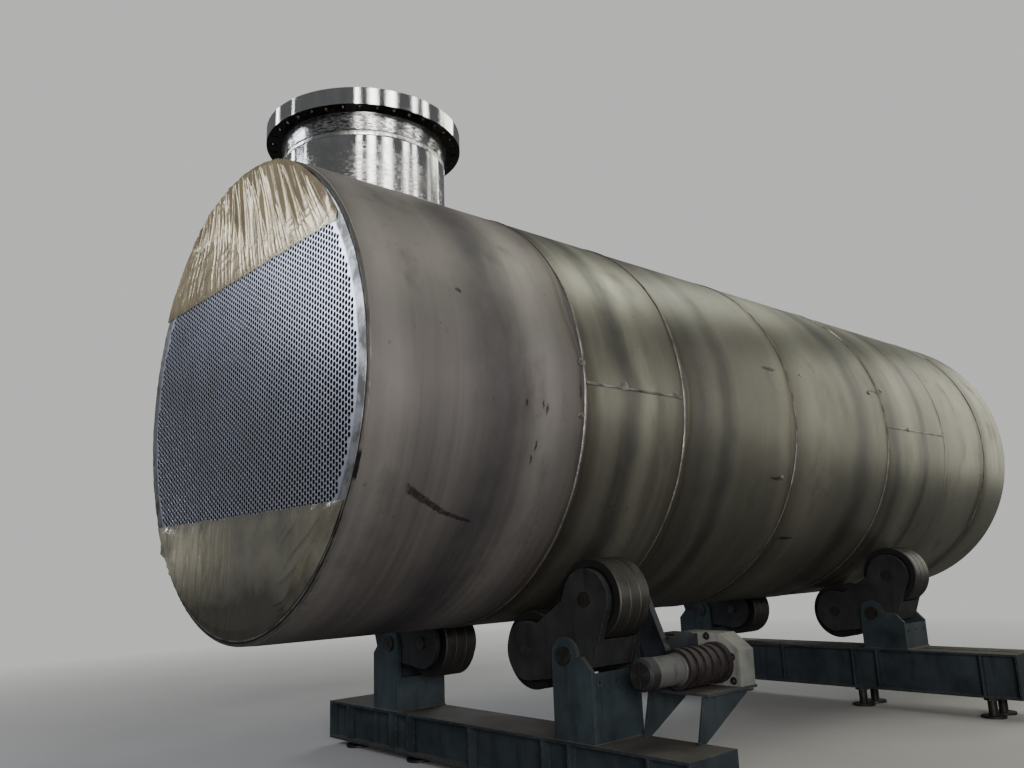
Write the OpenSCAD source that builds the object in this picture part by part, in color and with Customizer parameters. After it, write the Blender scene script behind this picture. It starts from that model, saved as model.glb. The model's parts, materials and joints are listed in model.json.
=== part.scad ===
// Shell and tube heat exchanger lying on two self-aligning roller stands.
// The axis of the vessel runs along X, the open tube sheet faces -X, and the floor is z = 0.

/* [Shell] */
// Outside diameter of the shell
shell_od = 2800; // [2760:10:2840]
// Plate thickness of the shell courses
shell_t = 28; // [20:1:36]
// Length of the vessel over both tube sheets
vessel_len = 8000; // [7900:10:8300]
// Length of the first course, which carries the nozzle
course_1_len = 1455; // [1440:5:1500]
// Length of the second course, which lies on the driven rollers
course_2_len = 930; // [900:5:960]
// Length of the third course
course_3_len = 1368; // [1300:4:1420]
// Length of the fifth course, which lies on the idle rollers
course_5_len = 2143; // [2050:1:2200]
// Length of the last course, which the rear tube sheet closes
course_6_len = 587; // [560:1:620]
// Width of a girth weld
weld_w = 26; // [16:2:40]
// Height of a girth weld above the plate
weld_h = 4; // [2:1:8]

/* [Tube bundle] */
// Thickness of each tube sheet
sheet_t = 160; // [120:5:200]
// How far the shell's end plate stands back from the face of the sheet
sheet_setback = 14; // [8:1:20]
// Plain rim between the outermost tube holes and the edge of the sheet
sheet_rim = 79; // [60:1:100]
// Outside diameter of a tube
tube_od = 25; // [19:0.5:28]
// Distance between neighbouring tubes
tube_pitch = 32; // [30:0.5:36]
// Clearance of a tube in its hole, across the diameter
tube_play = 0.4; // [0.2:0.1:0.8]
// Of so many tube holes along a row or a column, one is cut
hole_step = 5; // [4:1:9]
// Depth of the outermost tube rows, which stand round the solid core one by one
single_rows = 103; // [90:1:130]
// Thickness of a baffle plate
baffle_t = 16; // [10:1:24]
// Number of baffle plates
baffle_n = 9; // [6:1:12]
// Clearance of a baffle plate in the shell
baffle_gap = 3; // [2:0.5:6]

/* [Nozzle] */
// Distance of the nozzle from the face of the front sheet
nozzle_x = 861; // [840:1:900]
// Outside diameter of the nozzle neck
neck_od = 1085; // [1000:5:1100]
// Wall of the nozzle neck
neck_t = 20; // [14:1:28]
// Outside diameter of the flange
flange_od = 1312; // [1290:2:1330]
// Thickness of the flange
flange_t = 115; // [90:1:130]
// Height of the flange face above the axis of the shell
nozzle_h = 1927; // [1900:1:1980]
// Height of the tapered hub under the flange
hub_h = 131; // [110:1:150]
// Diameter of the bolt circle
bolt_pcd = 1226; // [1220:1:1232]
// Diameter of a bolt hole
bolt_d = 36; // [30:1:39]
// Number of bolt holes
bolt_n = 36; // [28:4:40]

/* [Protective film] */
// Thickness of the folded film over the sheet
film_t = 10; // [6:1:16]
// Height of the lower edge of the upper film above the axis
film_top_z = 735; // [650:5:800]
// Depth of the upper edge of the lower film below the axis
film_low_z = 685; // [600:5:760]
// How far the film wraps back over the shell
film_wrap = 70; // [40:5:100]

/* [Rollers] */
// Diameter of a roller
roller_d = 480; // [470:2:490]
// Width of a roller
roller_w = 265; // [240:1:280]
// Diameter of a roller axle
axle_d = 90; // [80:2:100]
// Clearance of an axle or a pin in its bore, across the diameter
bore_play = 0.4; // [0.2:0.1:0.8]
// Angle of the outer rollers from straight down
outer_deg = 41.5; // [41:0.1:42.5]
// Angle of the inner rollers from straight down
inner_deg = 20; // [19:0.1:20.5]
// Running gap between a roller and the shell
roll_gap = 0.3; // [0.2:0.1:0.6]

/* [Stands] */
// Distance of the driven stand from the face of the front sheet
drive_x = 1862; // [1820:2:1900]
// Distance of the idle stand from the face of the front sheet
idler_x = 5749; // [5700:1:5800]
// Height of the rocker pins above the floor
pin_z = 812; // [790:1:840]
// Diameter of a rocker pin
pin_d = 110; // [100:2:120]
// Thickness of a rocker plate
rocker_t = 36; // [30:1:40]
// Clear space between the two plates of a rocker
rocker_gap = 296; // [290:1:304]
// Thickness of a pedestal's cheeks
cheek_t = 26; // [18:1:30]
// Gap between a rocker plate and the cheek beside it
cheek_gap = 4; // [2:0.5:6]
// Distance of the driven pedestals' outer plates from their pins
drive_foot_out = 217; // [200:1:240]
// Distance of the idle pedestals' outer plates from their pins
idler_foot_out = 280; // [240:1:300]
// Thickness of the plates of the stands
plate_t = 16; // [12:1:20]
// Height of the driven stand's base above the floor
drive_base_h = 330; // [320:1:350]
// Depth of the driven stand's beam
drive_beam_h = 280; // [240:2:290]
// Height of the idle stand's base above the floor
idler_base_h = 505; // [490:1:520]
// Depth of the idle stand's beam
idler_beam_h = 345; // [320:1:370]
// Half length of the idle stand's base across the vessel
base_reach = 2060; // [2000:5:2150]
// Half length of the driven stand's base across the vessel
drive_reach = 1790; // [1760:5:1850]
// Diameter of a jack foot's pad
foot_d = 190; // [160:5:220]
// Distance of the outer jack feet from the ends of a base
foot_end = 270; // [220:5:300]
// Distance of the inner jack feet from the middle
foot_in_y = 700; // [650:5:750]
// Diameter of the bolt holes in the pedestals' outer plates
lug_d = 26; // [18:1:32]
// Distance of the bolt holes from the top of the plate
lug_drop = 60; // [45:1:80]
// Distance of the outer bolt holes from the cheeks
lug_in = 42; // [35:1:60]

/* [Drive] */
// Height of the motor's axis above the floor
motor_z = 727; // [722:1:745]
// Distance of the motor's axis from the end of the driven base
motor_in = 343; // [320:1:355]
// Diameter of the ribbed drum of the motor
motor_d = 226; // [210:2:234]
// Length of the ribbed drum
drum_len = 400; // [360:5:420]
// Diameter of the plain end of the motor
motor_end_d = 172; // [150:2:190]
// Length of the plain end
motor_end_len = 320; // [280:5:340]
// Distance of the gear case from the middle of the driven stand
gear_reach = 568; // [550:2:600]
// Thickness of the gear case
gear_w = 150; // [120:5:180]
// Height of the drive's shelf above the floor
shelf_z = 595; // [580:1:600]
// Thickness of the chain case
chain_w = 46; // [36:1:54]

/* [Hidden] */

shell_r = shell_od / 2;
bore_r = shell_r - shell_t;
front_x = (film_t - vessel_len) / 2;
field_r = bore_r - sheet_rim;
core_r = field_r - single_rows;
motor_y = drive_reach - motor_in;
base_w = rocker_gap + 2 * (rocker_t + cheek_gap + cheek_t);
roller_r = roller_d / 2;
roll_r = shell_r + roll_gap + roller_r;
mid_deg = (outer_deg + inner_deg) / 2;
pin_drop = roll_r + 165;
axis_z = pin_z + pin_drop * cos(mid_deg);
column_step = tube_pitch * sqrt(3) / 2;
neck_r = neck_od / 2;
hub_r = neck_r + 16;

// Ends of the courses, measured from the face of the front sheet; the fourth takes what is left
shell_front = sheet_setback;
shell_back = vessel_len - sheet_setback;
seam_1 = course_1_len;
seam_2 = seam_1 + course_2_len;
seam_3 = seam_2 + course_3_len;
seam_5 = shell_back - course_6_len;
seam_4 = seam_5 - course_5_len;
seams = [seam_1, seam_2, seam_3, seam_4, seam_5];

// Place of a baffle plate, counted from the front sheet
function baffle_at(i) = sheet_t + i * (vessel_len - 2 * sheet_t) / (baffle_n + 1);

// Tube holes that are always cut in the front sheet: the corners of three rectangles on the pattern
hole_sets = [[12, 24], [24, 18], [36, 10]];

// Vessel frame: x from the face of the front sheet, y and z from the axis of the shell
module at_vessel() {
    translate([front_x, 0, axis_z]) children();
}

// A drum or disc whose axis is the vessel's, from x0 to x1
module along(x0, x1, r) {
    translate([x0, 0, 0]) rotate([0, 90, 0]) cylinder(h = x1 - x0, r = r, $fn = 180);
}

module tube_wall(x0, x1, r_out, r_in) {
    difference() {
        along(x0, x1, r_out);
        along(x0 - 1, x1 + 1, r_in);
    }
}

module course(x0, x1) {
    color("dimgray") at_vessel() tube_wall(x0, x1, shell_r, bore_r);
}

module shell_course_1() {
    color("dimgray") at_vessel() difference() {
        tube_wall(shell_front, seam_1, shell_r, bore_r);
        translate([nozzle_x, 0, 0]) cylinder(h = shell_r + 1, r = neck_r, $fn = 120);
    }
}

module shell_course_2() course(seam_1, seam_2);
module shell_course_3() course(seam_2, seam_3);
module shell_course_4() course(seam_3, seam_4);
module shell_course_5() course(seam_4, seam_5);
module shell_course_6() course(seam_5, shell_back);

// A weld bead is a low crown, flat on the plate, with its middle on the seam
module bead(x) {
    translate([x, 0, 0]) rotate([0, 90, 0]) rotate_extrude($fn = 180)
        polygon([
            [shell_r, -weld_w / 2], [shell_r + weld_h, -weld_w / 4],
            [shell_r + weld_h, weld_w / 4], [shell_r, weld_w / 2]
        ]);
}

module girth_welds() {
    color("slategray") at_vessel() for (x = seams) bead(x);
}

// A hole through a sheet whose outer face is at x0, by its column and its row in the pattern
module tube_hole(x0, column, row) {
    translate([x0 - 1, column * column_step, row * tube_pitch]) rotate([0, 90, 0])
        cylinder(h = sheet_t + 2, d = tube_od + tube_play, $fn = 48);
}

// Every so many holes of the pattern, which are themselves a wider triangular pattern
module open_pattern(x0) {
    hole_reach = field_r - (tube_od + tube_play) / 2;
    columns = floor(hole_reach / (hole_step * column_step));
    rows = ceil(hole_reach / (hole_step * tube_pitch));
    for (i = [-columns:columns], j = [-rows:rows]) {
        column = i * hole_step;
        row = (j + (i % 2 == 0 ? 0 : 0.5)) * hole_step;
        if (norm([column * column_step, row * tube_pitch]) < hole_reach)
            tube_hole(x0, column, row);
    }
}

module front_tubesheet() {
    color("silver") at_vessel() difference() {
        along(0, sheet_t, bore_r);
        open_pattern(0);
        for (s = hole_sets, i = [-1, 1], j = [-1, 1])
            tube_hole(0, i * s[0], j * s[1]);
    }
}

module rear_tubesheet() {
    x0 = vessel_len - sheet_t;
    color("silver") at_vessel() difference() {
        along(x0, vessel_len, bore_r);
        open_pattern(x0);
    }
}

// The weld fills the corner between the edge of a sheet and the end of the shell
module seal_weld() {
    rotate([0, 90, 0]) rotate_extrude($fn = 180)
        polygon([
            [bore_r, 3], [bore_r + shell_t * 0.35, 5],
            [bore_r + shell_t * 0.8, sheet_setback], [bore_r, sheet_setback]
        ]);
}

module seal_welds() {
    color("gray") at_vessel() {
        seal_weld();
        translate([vessel_len, 0, 0]) mirror([1, 0, 0]) seal_weld();
    }
}

module nozzle_neck() {
    color("lightgray") at_vessel() translate([nozzle_x, 0, 0]) difference() {
        cylinder(h = nozzle_h - flange_t - hub_h, r = neck_r, $fn = 120);
        translate([0, 0, -1]) cylinder(h = nozzle_h, r = neck_r - neck_t, $fn = 120);
        translate([-nozzle_x, 0, 0]) along(0, seam_2, bore_r);
    }
}

module nozzle_flange() {
    color("lightgray") at_vessel() translate([nozzle_x, 0, nozzle_h - flange_t - hub_h]) difference() {
        rotate_extrude($fn = 120) polygon([
            [neck_r - neck_t, 0], [neck_r - 8, 0], [neck_r, 8], [hub_r, hub_h], [flange_od / 2, hub_h],
            [flange_od / 2, hub_h + flange_t - 4], [flange_od / 2 - 4, hub_h + flange_t],
            [neck_r - neck_t, hub_h + flange_t]
        ]);
        for (i = [0:bolt_n - 1])
            rotate((i + 0.5) * 360 / bolt_n) translate([bolt_pcd / 2, 0, hub_h - 1])
                cylinder(h = flange_t + 2, d = bolt_d, $fn = 32);
    }
}

module nozzle_weld() {
    color("gray") at_vessel() intersection() {
        translate([nozzle_x, 0, 0]) difference() {
            cylinder(h = nozzle_h, r = neck_r + 16, $fn = 120);
            translate([0, 0, -1]) cylinder(h = nozzle_h + 2, r = neck_r, $fn = 120);
        }
        tube_wall(shell_front, seam_1, shell_r + 12, shell_r);
    }
}

// The stack of tubes inside the outermost rows, from sheet to sheet
module tube_core() {
    color("dimgray") at_vessel() along(sheet_t, vessel_len - sheet_t, core_r);
}

// The upper rows that show through the nozzle, tube by tube, from the sheet to the second baffle
module nozzle_tubes() {
    columns = floor((neck_r + tube_pitch) / column_step);
    rows = ceil(field_r / tube_pitch);
    color("silver") at_vessel()
        for (c = [-columns:columns], k = [1:rows]) {
            y = c * column_step;
            z = (k + (c % 2 == 0 ? 0 : 0.5)) * tube_pitch;
            if (norm([y, z]) > core_r + tube_od / 2 + 1 && norm([y, z]) < field_r - tube_od / 2)
                translate([sheet_t, y, z]) rotate([0, 90, 0])
                    cylinder(h = baffle_at(2) - sheet_t, d = tube_od, $fn = 24);
        }
}

// Baffle plates fill the space between the tube stack and the shell, open by turns above and below
module baffles() {
    window = core_r - 330;
    color("dimgray") at_vessel() for (i = [1:baffle_n])
        difference() {
            tube_wall(baffle_at(i), baffle_at(i) + baffle_t, bore_r - baffle_gap, core_r);
            translate([0, -bore_r, i % 2 == 1 ? window : -window - bore_r])
                cube([vessel_len, 2 * bore_r, bore_r]);
        }
}

// Film over the sheet: a flat fold in front of it and a wrap over the end of the shell
module film_upper() {
    color("khaki") at_vessel() difference() {
        along(-film_t, film_wrap, shell_r + film_t);
        along(0, film_wrap + 1, shell_r);
        translate([-film_t - 1, -shell_r - 20, -2 * shell_r]) cube([film_wrap + 20, 2 * shell_r + 40, 2 * shell_r + film_top_z]);
    }
}

module film_lower() {
    color("lightsteelblue") at_vessel() intersection() {
        along(-film_t, 0, bore_r - 20);
        translate([-film_t - 1, -shell_r, -film_low_z - shell_r]) cube([film_t + 2, 2 * shell_r, shell_r]);
    }
}

// Places a child at a point given by its angle from straight down and its distance from the axis
module at_roll(x, side, deg, dist) {
    translate([front_x + x, side * dist * sin(deg), axis_z - dist * cos(deg)]) children();
}

// A roller is a drum with a hub that runs on its axle and two turned grooves in its face
module roller(x, side, deg) {
    hub_len = rocker_gap - 4;
    color("dimgray") at_roll(x, side, deg, roll_r) rotate([0, 90, 0]) rotate_extrude($fn = 96)
        polygon([
            [axle_d / 2 + 0.05, -hub_len / 2], [axle_d / 2 + 40, -hub_len / 2], [axle_d / 2 + 45, -roller_w / 2 + 16],
            [roller_r - 60, -roller_w / 2 + 16], [roller_r - 52, -roller_w / 2], [roller_r - 8, -roller_w / 2],
            [roller_r, -roller_w / 2 + 8], [roller_r, -roller_w / 6 - 5], [roller_r - 5, -roller_w / 6],
            [roller_r, -roller_w / 6 + 5], [roller_r, roller_w / 6 - 5], [roller_r - 5, roller_w / 6],
            [roller_r, roller_w / 6 + 5], [roller_r, roller_w / 2 - 8], [roller_r - 8, roller_w / 2],
            [roller_r - 52, roller_w / 2], [roller_r - 60, roller_w / 2 - 16], [axle_d / 2 + 45, roller_w / 2 - 16],
            [axle_d / 2 + 40, hub_len / 2], [axle_d / 2 + 0.05, hub_len / 2]
        ]);
}

module roller_drive_left_outer() roller(drive_x, -1, outer_deg);
module roller_drive_left_inner() roller(drive_x, -1, inner_deg);
module roller_drive_right_inner() roller(drive_x, 1, inner_deg);
module roller_drive_right_outer() roller(drive_x, 1, outer_deg);
module roller_idler_left_outer() roller(idler_x, -1, outer_deg);
module roller_idler_left_inner() roller(idler_x, -1, inner_deg);
module roller_idler_right_inner() roller(idler_x, 1, inner_deg);
module roller_idler_right_outer() roller(idler_x, 1, outer_deg);

// Points across the stand, as (y, z) about the vessel's axis, on the +y side
function roll_point(deg, dist) = [dist * sin(deg), -dist * cos(deg)];
pin_p = roll_point(mid_deg, pin_drop);
outer_p = roll_point(outer_deg, roll_r);
inner_p = roll_point(inner_deg, roll_r);
stay_p = roll_point(mid_deg, roll_r * cos((outer_deg - inner_deg) / 2) - 8);

// The outline of a link: two round ends and a web whose edges run just inside their tangent lines
module link(a, ra, b, rb) {
    inset = 0.1;
    d = norm(b - a);
    turn = atan2(b[1] - a[1], b[0] - a[0]);
    lean = asin((ra - rb) / d);
    web_a = ra - inset;
    web_b = rb - inset;
    translate(a) rotate(turn) {
        circle(ra, $fn = 72);
        translate([d, 0]) circle(rb, $fn = 72);
        polygon([
            [web_a * sin(lean), web_a * cos(lean)], [d + web_b * sin(lean), web_b * cos(lean)],
            [d + web_b * sin(lean), -web_b * cos(lean)], [web_a * sin(lean), -web_a * cos(lean)]
        ]);
    }
}

// Stands an outline drawn in (y, z) upright across the vessel, from x0 to x0 + t
module upright(x0, t) {
    translate([x0, 0, 0]) rotate([90, 0, 90]) linear_extrude(t) children();
}

lobe_r = 178;
boss_r = pin_d / 2 + 68;
// The outer edge of a rocker runs down almost upright from its outer lobe, as a skirt
skirt_top = outer_p + [97, -230];
skirt_low = pin_p + [205, -60];

module rocker_outline() {
    difference() {
        union() {
            link(outer_p, lobe_r, pin_p, boss_r);
            link(inner_p, lobe_r, pin_p, boss_r);
            link(outer_p, 90, inner_p, 90);
            polygon([outer_p, outer_p + [160, -77], skirt_top, skirt_low, pin_p + [40, -boss_r * 0.9], pin_p]);
        }
        for (p = [outer_p, inner_p])
            translate(p) circle(d = axle_d + bore_play, $fn = 48);
        translate(pin_p) circle(d = pin_d + bore_play, $fn = 48);
    }
}

// A rocker is a pair of plates joined by a stay tube between the rollers and a plate in the skirt
module rocker(x, side) {
    color("darkslategray") translate([front_x + x, 0, axis_z]) mirror([0, side < 0 ? 1 : 0, 0]) {
        upright(-rocker_gap / 2 - rocker_t, rocker_t) rocker_outline();
        upright(rocker_gap / 2, rocker_t) rocker_outline();
        upright(-rocker_gap / 2, rocker_gap) translate(stay_p) circle(48, $fn = 40);
        upright(-rocker_gap / 2, rocker_gap)
            polygon([skirt_top - [2, 0], skirt_low - [2, 0], skirt_low - [plate_t, 0], skirt_top - [plate_t, 0]]);
    }
}

module rocker_drive_left() rocker(drive_x, -1);
module rocker_drive_right() rocker(drive_x, 1);
module rocker_idler_left() rocker(idler_x, -1);
module rocker_idler_right() rocker(idler_x, 1);

module roller_axles() {
    long = rocker_gap + 2 * rocker_t + 24;
    color("silver") for (x = [drive_x, idler_x], side = [-1, 1], deg = [outer_deg, inner_deg])
        at_roll(x, side, deg, roll_r) rotate([0, 90, 0])
            cylinder(h = long, d = axle_d, center = true, $fn = 48);
}

module rocker_pins() {
    color("silver") for (x = [drive_x, idler_x], side = [-1, 1])
        at_roll(x, side, mid_deg, pin_drop) rotate([0, 90, 0])
            cylinder(h = base_w + 30, d = pin_d, center = true, $fn = 48);
}

// The outline of a pedestal's cheek: a round head at the pin, a chamfer and an upright outer edge
module cheek_outline(foot_z, out) {
    head_r = pin_d / 2 + 50;
    difference() {
        union() {
            translate(pin_p) circle(head_r, $fn = 72);
            polygon([
                pin_p - [head_r, 0], pin_p + [out - 76, 0], pin_p + [out, -78], [pin_p[0] + out, foot_z],
                [pin_p[0] - 106, foot_z], [pin_p[0] - 106, foot_z + 120]
            ]);
        }
        translate(pin_p) circle(d = pin_d + bore_play, $fn = 48);
    }
}

// A pedestal is a box on the base, open at the top: two cheeks outside the rocker and two plates.
// Its outer plate has a row of bolt holes near its top.
module pedestal(x, side, base_h, out) {
    foot_z = base_h - axis_z;
    inside = base_w - 2 * cheek_t;
    outer_h = pin_z - base_h - 92;
    color("steelblue") translate([front_x + x, 0, axis_z]) mirror([0, side < 0 ? 1 : 0, 0]) {
        upright(-base_w / 2, cheek_t) cheek_outline(foot_z, out);
        upright(base_w / 2 - cheek_t, cheek_t) cheek_outline(foot_z, out);
        difference() {
            translate([-inside / 2, pin_p[0] + out - plate_t, foot_z]) cube([inside, plate_t, outer_h]);
            for (s = [-1:1])
                translate([s * (inside / 2 - lug_in), pin_p[0] + out + 1, foot_z + outer_h - lug_drop])
                    rotate([90, 0, 0]) cylinder(h = plate_t + 2, d = lug_d, $fn = 32);
        }
        translate([-inside / 2, pin_p[0] - 100, foot_z]) cube([inside, plate_t, outer_h * 0.6]);
    }
}

module pedestal_drive_left() pedestal(drive_x, -1, drive_base_h, drive_foot_out);
module pedestal_drive_right() pedestal(drive_x, 1, drive_base_h, drive_foot_out);
module pedestal_idler_left() pedestal(idler_x, -1, idler_base_h, idler_foot_out);
module pedestal_idler_right() pedestal(idler_x, 1, idler_base_h, idler_foot_out);

// A base is two beams with a slot between them, flanges outwards, and plates across at the feet
module base(x, reach, top_z, beam_h, slot_w) {
    web_x = base_w / 2 - 64;
    foot_y = reach - foot_end;
    color("steelblue") translate([front_x + x, 0, top_z]) {
        difference() {
            translate([-base_w / 2, -reach, -plate_t]) cube([base_w, 2 * reach, plate_t]);
            if (slot_w > 0)
                for (s = [-1, 1])
                    translate([-slot_w / 2, s > 0 ? pin_p[0] + 320 : 60 - reach, -plate_t - 1])
                        cube([slot_w, reach - pin_p[0] - 380, plate_t + 2]);
        }
        translate([-base_w / 2, -reach, -beam_h]) cube([base_w, 2 * reach, plate_t]);
        for (s = [-1, 1])
            translate([s * web_x - plate_t / 2, -reach, -beam_h]) cube([plate_t, 2 * reach, beam_h]);
        for (y = [-reach, -foot_y, -pin_p[0], -foot_in_y, 0, foot_in_y, pin_p[0], foot_y, reach - plate_t])
            translate([-base_w / 2, y, -beam_h]) cube([base_w, plate_t, beam_h]);
    }
}

module base_drive() base(drive_x, drive_reach, drive_base_h, drive_beam_h, 0);
module base_idler() base(idler_x, base_reach, idler_base_h, idler_beam_h, 36);

// A jack foot is a pad on the floor with a screw and a nut up to the underside of the beam
module jacks(x, reach, gap) {
    pad_t = 18;
    foot_y = reach - foot_end;
    color("gray") for (y = [-foot_y, -foot_in_y, foot_in_y, foot_y], s = [-1, 1])
        translate([front_x + x + s * (base_w / 2 - foot_d / 2 - 10), y, 0]) {
            cylinder(h = pad_t, d = foot_d, $fn = 48);
            cylinder(h = gap, d = 70, $fn = 36);
            translate([0, 0, gap - 26]) cylinder(h = 26, d = 120, $fn = 6);
        }
}

module jacks_drive() jacks(drive_x, drive_reach, drive_base_h - drive_beam_h);
module jacks_idler() jacks(idler_x, base_reach, idler_base_h - idler_beam_h);

// The drive stands on a shelf beside the driven stand, outside the camera-side rocker
gear_x = drive_x + gear_reach;
drum_lip = 8;
reducer_w = 140;
reducer_near = motor_y - motor_d / 2 - drum_lip - 6;
reducer_y = reducer_near - 48;
reducer_z = motor_z + 80;
chain_x = drive_x + base_w / 2 + 20;

// The gear case is an upright plate-like housing with a cut corner, on the shelf
module gear_case() {
    color("lightsteelblue") translate([front_x + gear_x, 0, 0]) rotate([90, 0, 90]) linear_extrude(gear_w)
        polygon([
            [-motor_y - 160, shelf_z], [-motor_y - 165, motor_z + 75], [-motor_y - 40, motor_z + 170],
            [-reducer_y + 80, motor_z + 172], [-reducer_y + 112, motor_z + 140], [-reducer_y + 112, shelf_z]
        ]);
}

// The motor is a ribbed drum on the gear case with a plain end beyond it
module drive_motor() {
    drum_r = motor_d / 2;
    end_r = motor_end_d / 2;
    rib = drum_len / 11;
    long = drum_len + motor_end_len;
    color("saddlebrown") translate([front_x + gear_x, -motor_y, motor_z]) rotate([0, -90, 0])
        rotate_extrude($fn = 72) polygon(concat(
            [[0, 0], [drum_r + drum_lip, 0], [drum_r + drum_lip, rib]],
            [for (i = [0:4], p = [[-14, 1], [-14, 2], [0, 2], [0, 3]]) [drum_r + p[0], rib * (2 * i + p[1])]],
            [[end_r + 6, drum_len], [end_r, drum_len + 8], [end_r, long - 80], [end_r + 5, long - 76],
             [end_r + 5, long - 12], [end_r - 12, long], [0, long]]
        ));
}

// The reducer lies between the chain case and the gear case
module reducer() {
    x0 = chain_x + chain_w;
    color("black") translate([front_x + x0, -reducer_near, shelf_z]) {
        cube([gear_x - x0, reducer_w, motor_z + 165 - shelf_z]);
        translate([60, 0, motor_z + 165 - shelf_z]) cube([gear_x - x0 - 120, reducer_w, 14]);
    }
}

// The chain case runs from the reducer's shaft up to the axle of the driven outer roller
module chain_case() {
    a = [-outer_p[0], outer_p[1] + axis_z];
    b = [-reducer_y + 20, reducer_z];
    color("black") translate([front_x + chain_x, 0, 0]) {
        rotate([90, 0, 90]) linear_extrude(chain_w) link(a, 104, b, 78);
        translate([12 - chain_x + drive_x + rocker_gap / 2 + rocker_t, a[0], a[1]]) rotate([0, 90, 0])
            cylinder(h = chain_x - 12 - drive_x - rocker_gap / 2 - rocker_t, d = axle_d + 40, $fn = 48);
    }
}

// The shelf is a plate on two gussets that stand on the base and reach out past its edge
module drive_shelf() {
    x0 = drive_x - 40;
    x1 = gear_x + gear_w;
    edge = drive_x + base_w / 2;
    low = -motor_y - 170;
    wide = motor_y - reducer_y + 290;
    color("steelblue") translate([front_x, 0, 0]) {
        translate([edge + 10, low, shelf_z - plate_t]) cube([x1 - edge - 10, wide, plate_t]);
        for (y = [low + 30, low + wide - 46])
            translate([0, y + plate_t, 0]) rotate([90, 0, 0]) linear_extrude(plate_t) polygon([
                [edge - 60, drive_base_h], [edge, drive_base_h], [x1 - 20, shelf_z - plate_t],
                [edge + 10, shelf_z - plate_t]
            ]);
    }
}

shell_course_1();
shell_course_2();
shell_course_3();
shell_course_4();
shell_course_5();
shell_course_6();
girth_welds();
front_tubesheet();
rear_tubesheet();
seal_welds();
nozzle_neck();
nozzle_flange();
nozzle_weld();
tube_core();
nozzle_tubes();
baffles();
film_upper();
film_lower();
roller_drive_left_outer();
roller_drive_left_inner();
roller_drive_right_inner();
roller_drive_right_outer();
roller_idler_left_outer();
roller_idler_left_inner();
roller_idler_right_inner();
roller_idler_right_outer();
rocker_drive_left();
rocker_drive_right();
rocker_idler_left();
rocker_idler_right();
roller_axles();
rocker_pins();
pedestal_drive_left();
pedestal_drive_right();
pedestal_idler_left();
pedestal_idler_right();
base_drive();
base_idler();
jacks_drive();
jacks_idler();
gear_case();
drive_motor();
reducer();
chain_case();
drive_shelf();
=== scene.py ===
# %% [markdown]
# # A heat exchanger on its turning rolls
#
# The object is a steel drum, eight metres long, packed with tubes. It lies on two stands whose
# rollers let it be turned while it is welded. The exact solids come from the packed CAD model.
# This lesson dresses them: it models what CAD leaves plain, and gives every surface its finish.
# The model is opened first, because every size and place below is read from it.

# %% Open the packed model
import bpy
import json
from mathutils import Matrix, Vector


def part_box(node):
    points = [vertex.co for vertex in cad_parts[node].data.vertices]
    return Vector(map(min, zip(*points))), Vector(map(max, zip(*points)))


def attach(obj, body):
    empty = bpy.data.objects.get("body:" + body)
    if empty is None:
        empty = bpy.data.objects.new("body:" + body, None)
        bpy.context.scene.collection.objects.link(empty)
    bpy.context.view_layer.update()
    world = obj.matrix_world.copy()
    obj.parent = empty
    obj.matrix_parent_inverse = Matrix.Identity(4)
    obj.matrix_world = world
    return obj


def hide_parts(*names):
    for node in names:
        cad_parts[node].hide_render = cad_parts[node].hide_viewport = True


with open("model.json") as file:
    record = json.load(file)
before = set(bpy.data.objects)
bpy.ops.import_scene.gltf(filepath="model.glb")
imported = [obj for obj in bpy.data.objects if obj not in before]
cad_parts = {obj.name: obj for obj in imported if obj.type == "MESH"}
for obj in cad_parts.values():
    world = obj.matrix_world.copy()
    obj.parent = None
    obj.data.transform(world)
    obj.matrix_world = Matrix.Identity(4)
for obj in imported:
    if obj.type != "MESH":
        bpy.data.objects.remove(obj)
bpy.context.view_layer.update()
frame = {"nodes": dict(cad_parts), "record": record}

# %% Blender's own modules
import json
from functools import reduce
from math import atan2, cos, hypot, pi, radians, sin, sqrt, tau
import bmesh
import bpy
from mathutils import Matrix, Vector, noise

# %% [markdown]
# ## Measures
#
# A dresser who types sizes by hand soon works beside the model instead of on it. So the places of
# the drum's parts are asked from the frame. Inside the drum it is handy to count from the face of
# the front tube sheet and from the axis of the shell, as a boilermaker does. VESSEL is the matrix
# that carries such a place back to the shared frame. SHEETS holds one such matrix for either sheet.

# %% Read the drum's measures
sheet_low, sheet_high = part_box("front_tubesheet")
FACE_X = sheet_low.x
AXIS_Z = (sheet_low.z + sheet_high.z) / 2
BORE_R = (sheet_high.z - sheet_low.z) / 2
VESSEL_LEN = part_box("rear_tubesheet")[1].x - FACE_X
PLAIN_RIM = 0.079
FIELD_R = BORE_R - PLAIN_RIM
COURSES = [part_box(f"shell_course_{n}") for n in range(1, 7)]
SHELL_R = (COURSES[1][1].y - COURSES[1][0].y) / 2
ENDS = [(low.x - FACE_X, high.x - FACE_X) for low, high in COURSES]
SEAMS = [high for low, high in ENDS[:-1]]
VESSEL = Matrix.Translation((FACE_X, 0, AXIS_Z))
SHEETS = {"front": VESSEL}
SHEETS["rear"] = VESSEL @ Matrix.Translation((VESSEL_LEN, 0, 0)) @ Matrix.Rotation(pi, 4, "Z")
print(f"shell radius {SHELL_R:.3f}, bore {BORE_R:.3f}, seams {[round(s, 3) for s in SEAMS]}")

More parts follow.
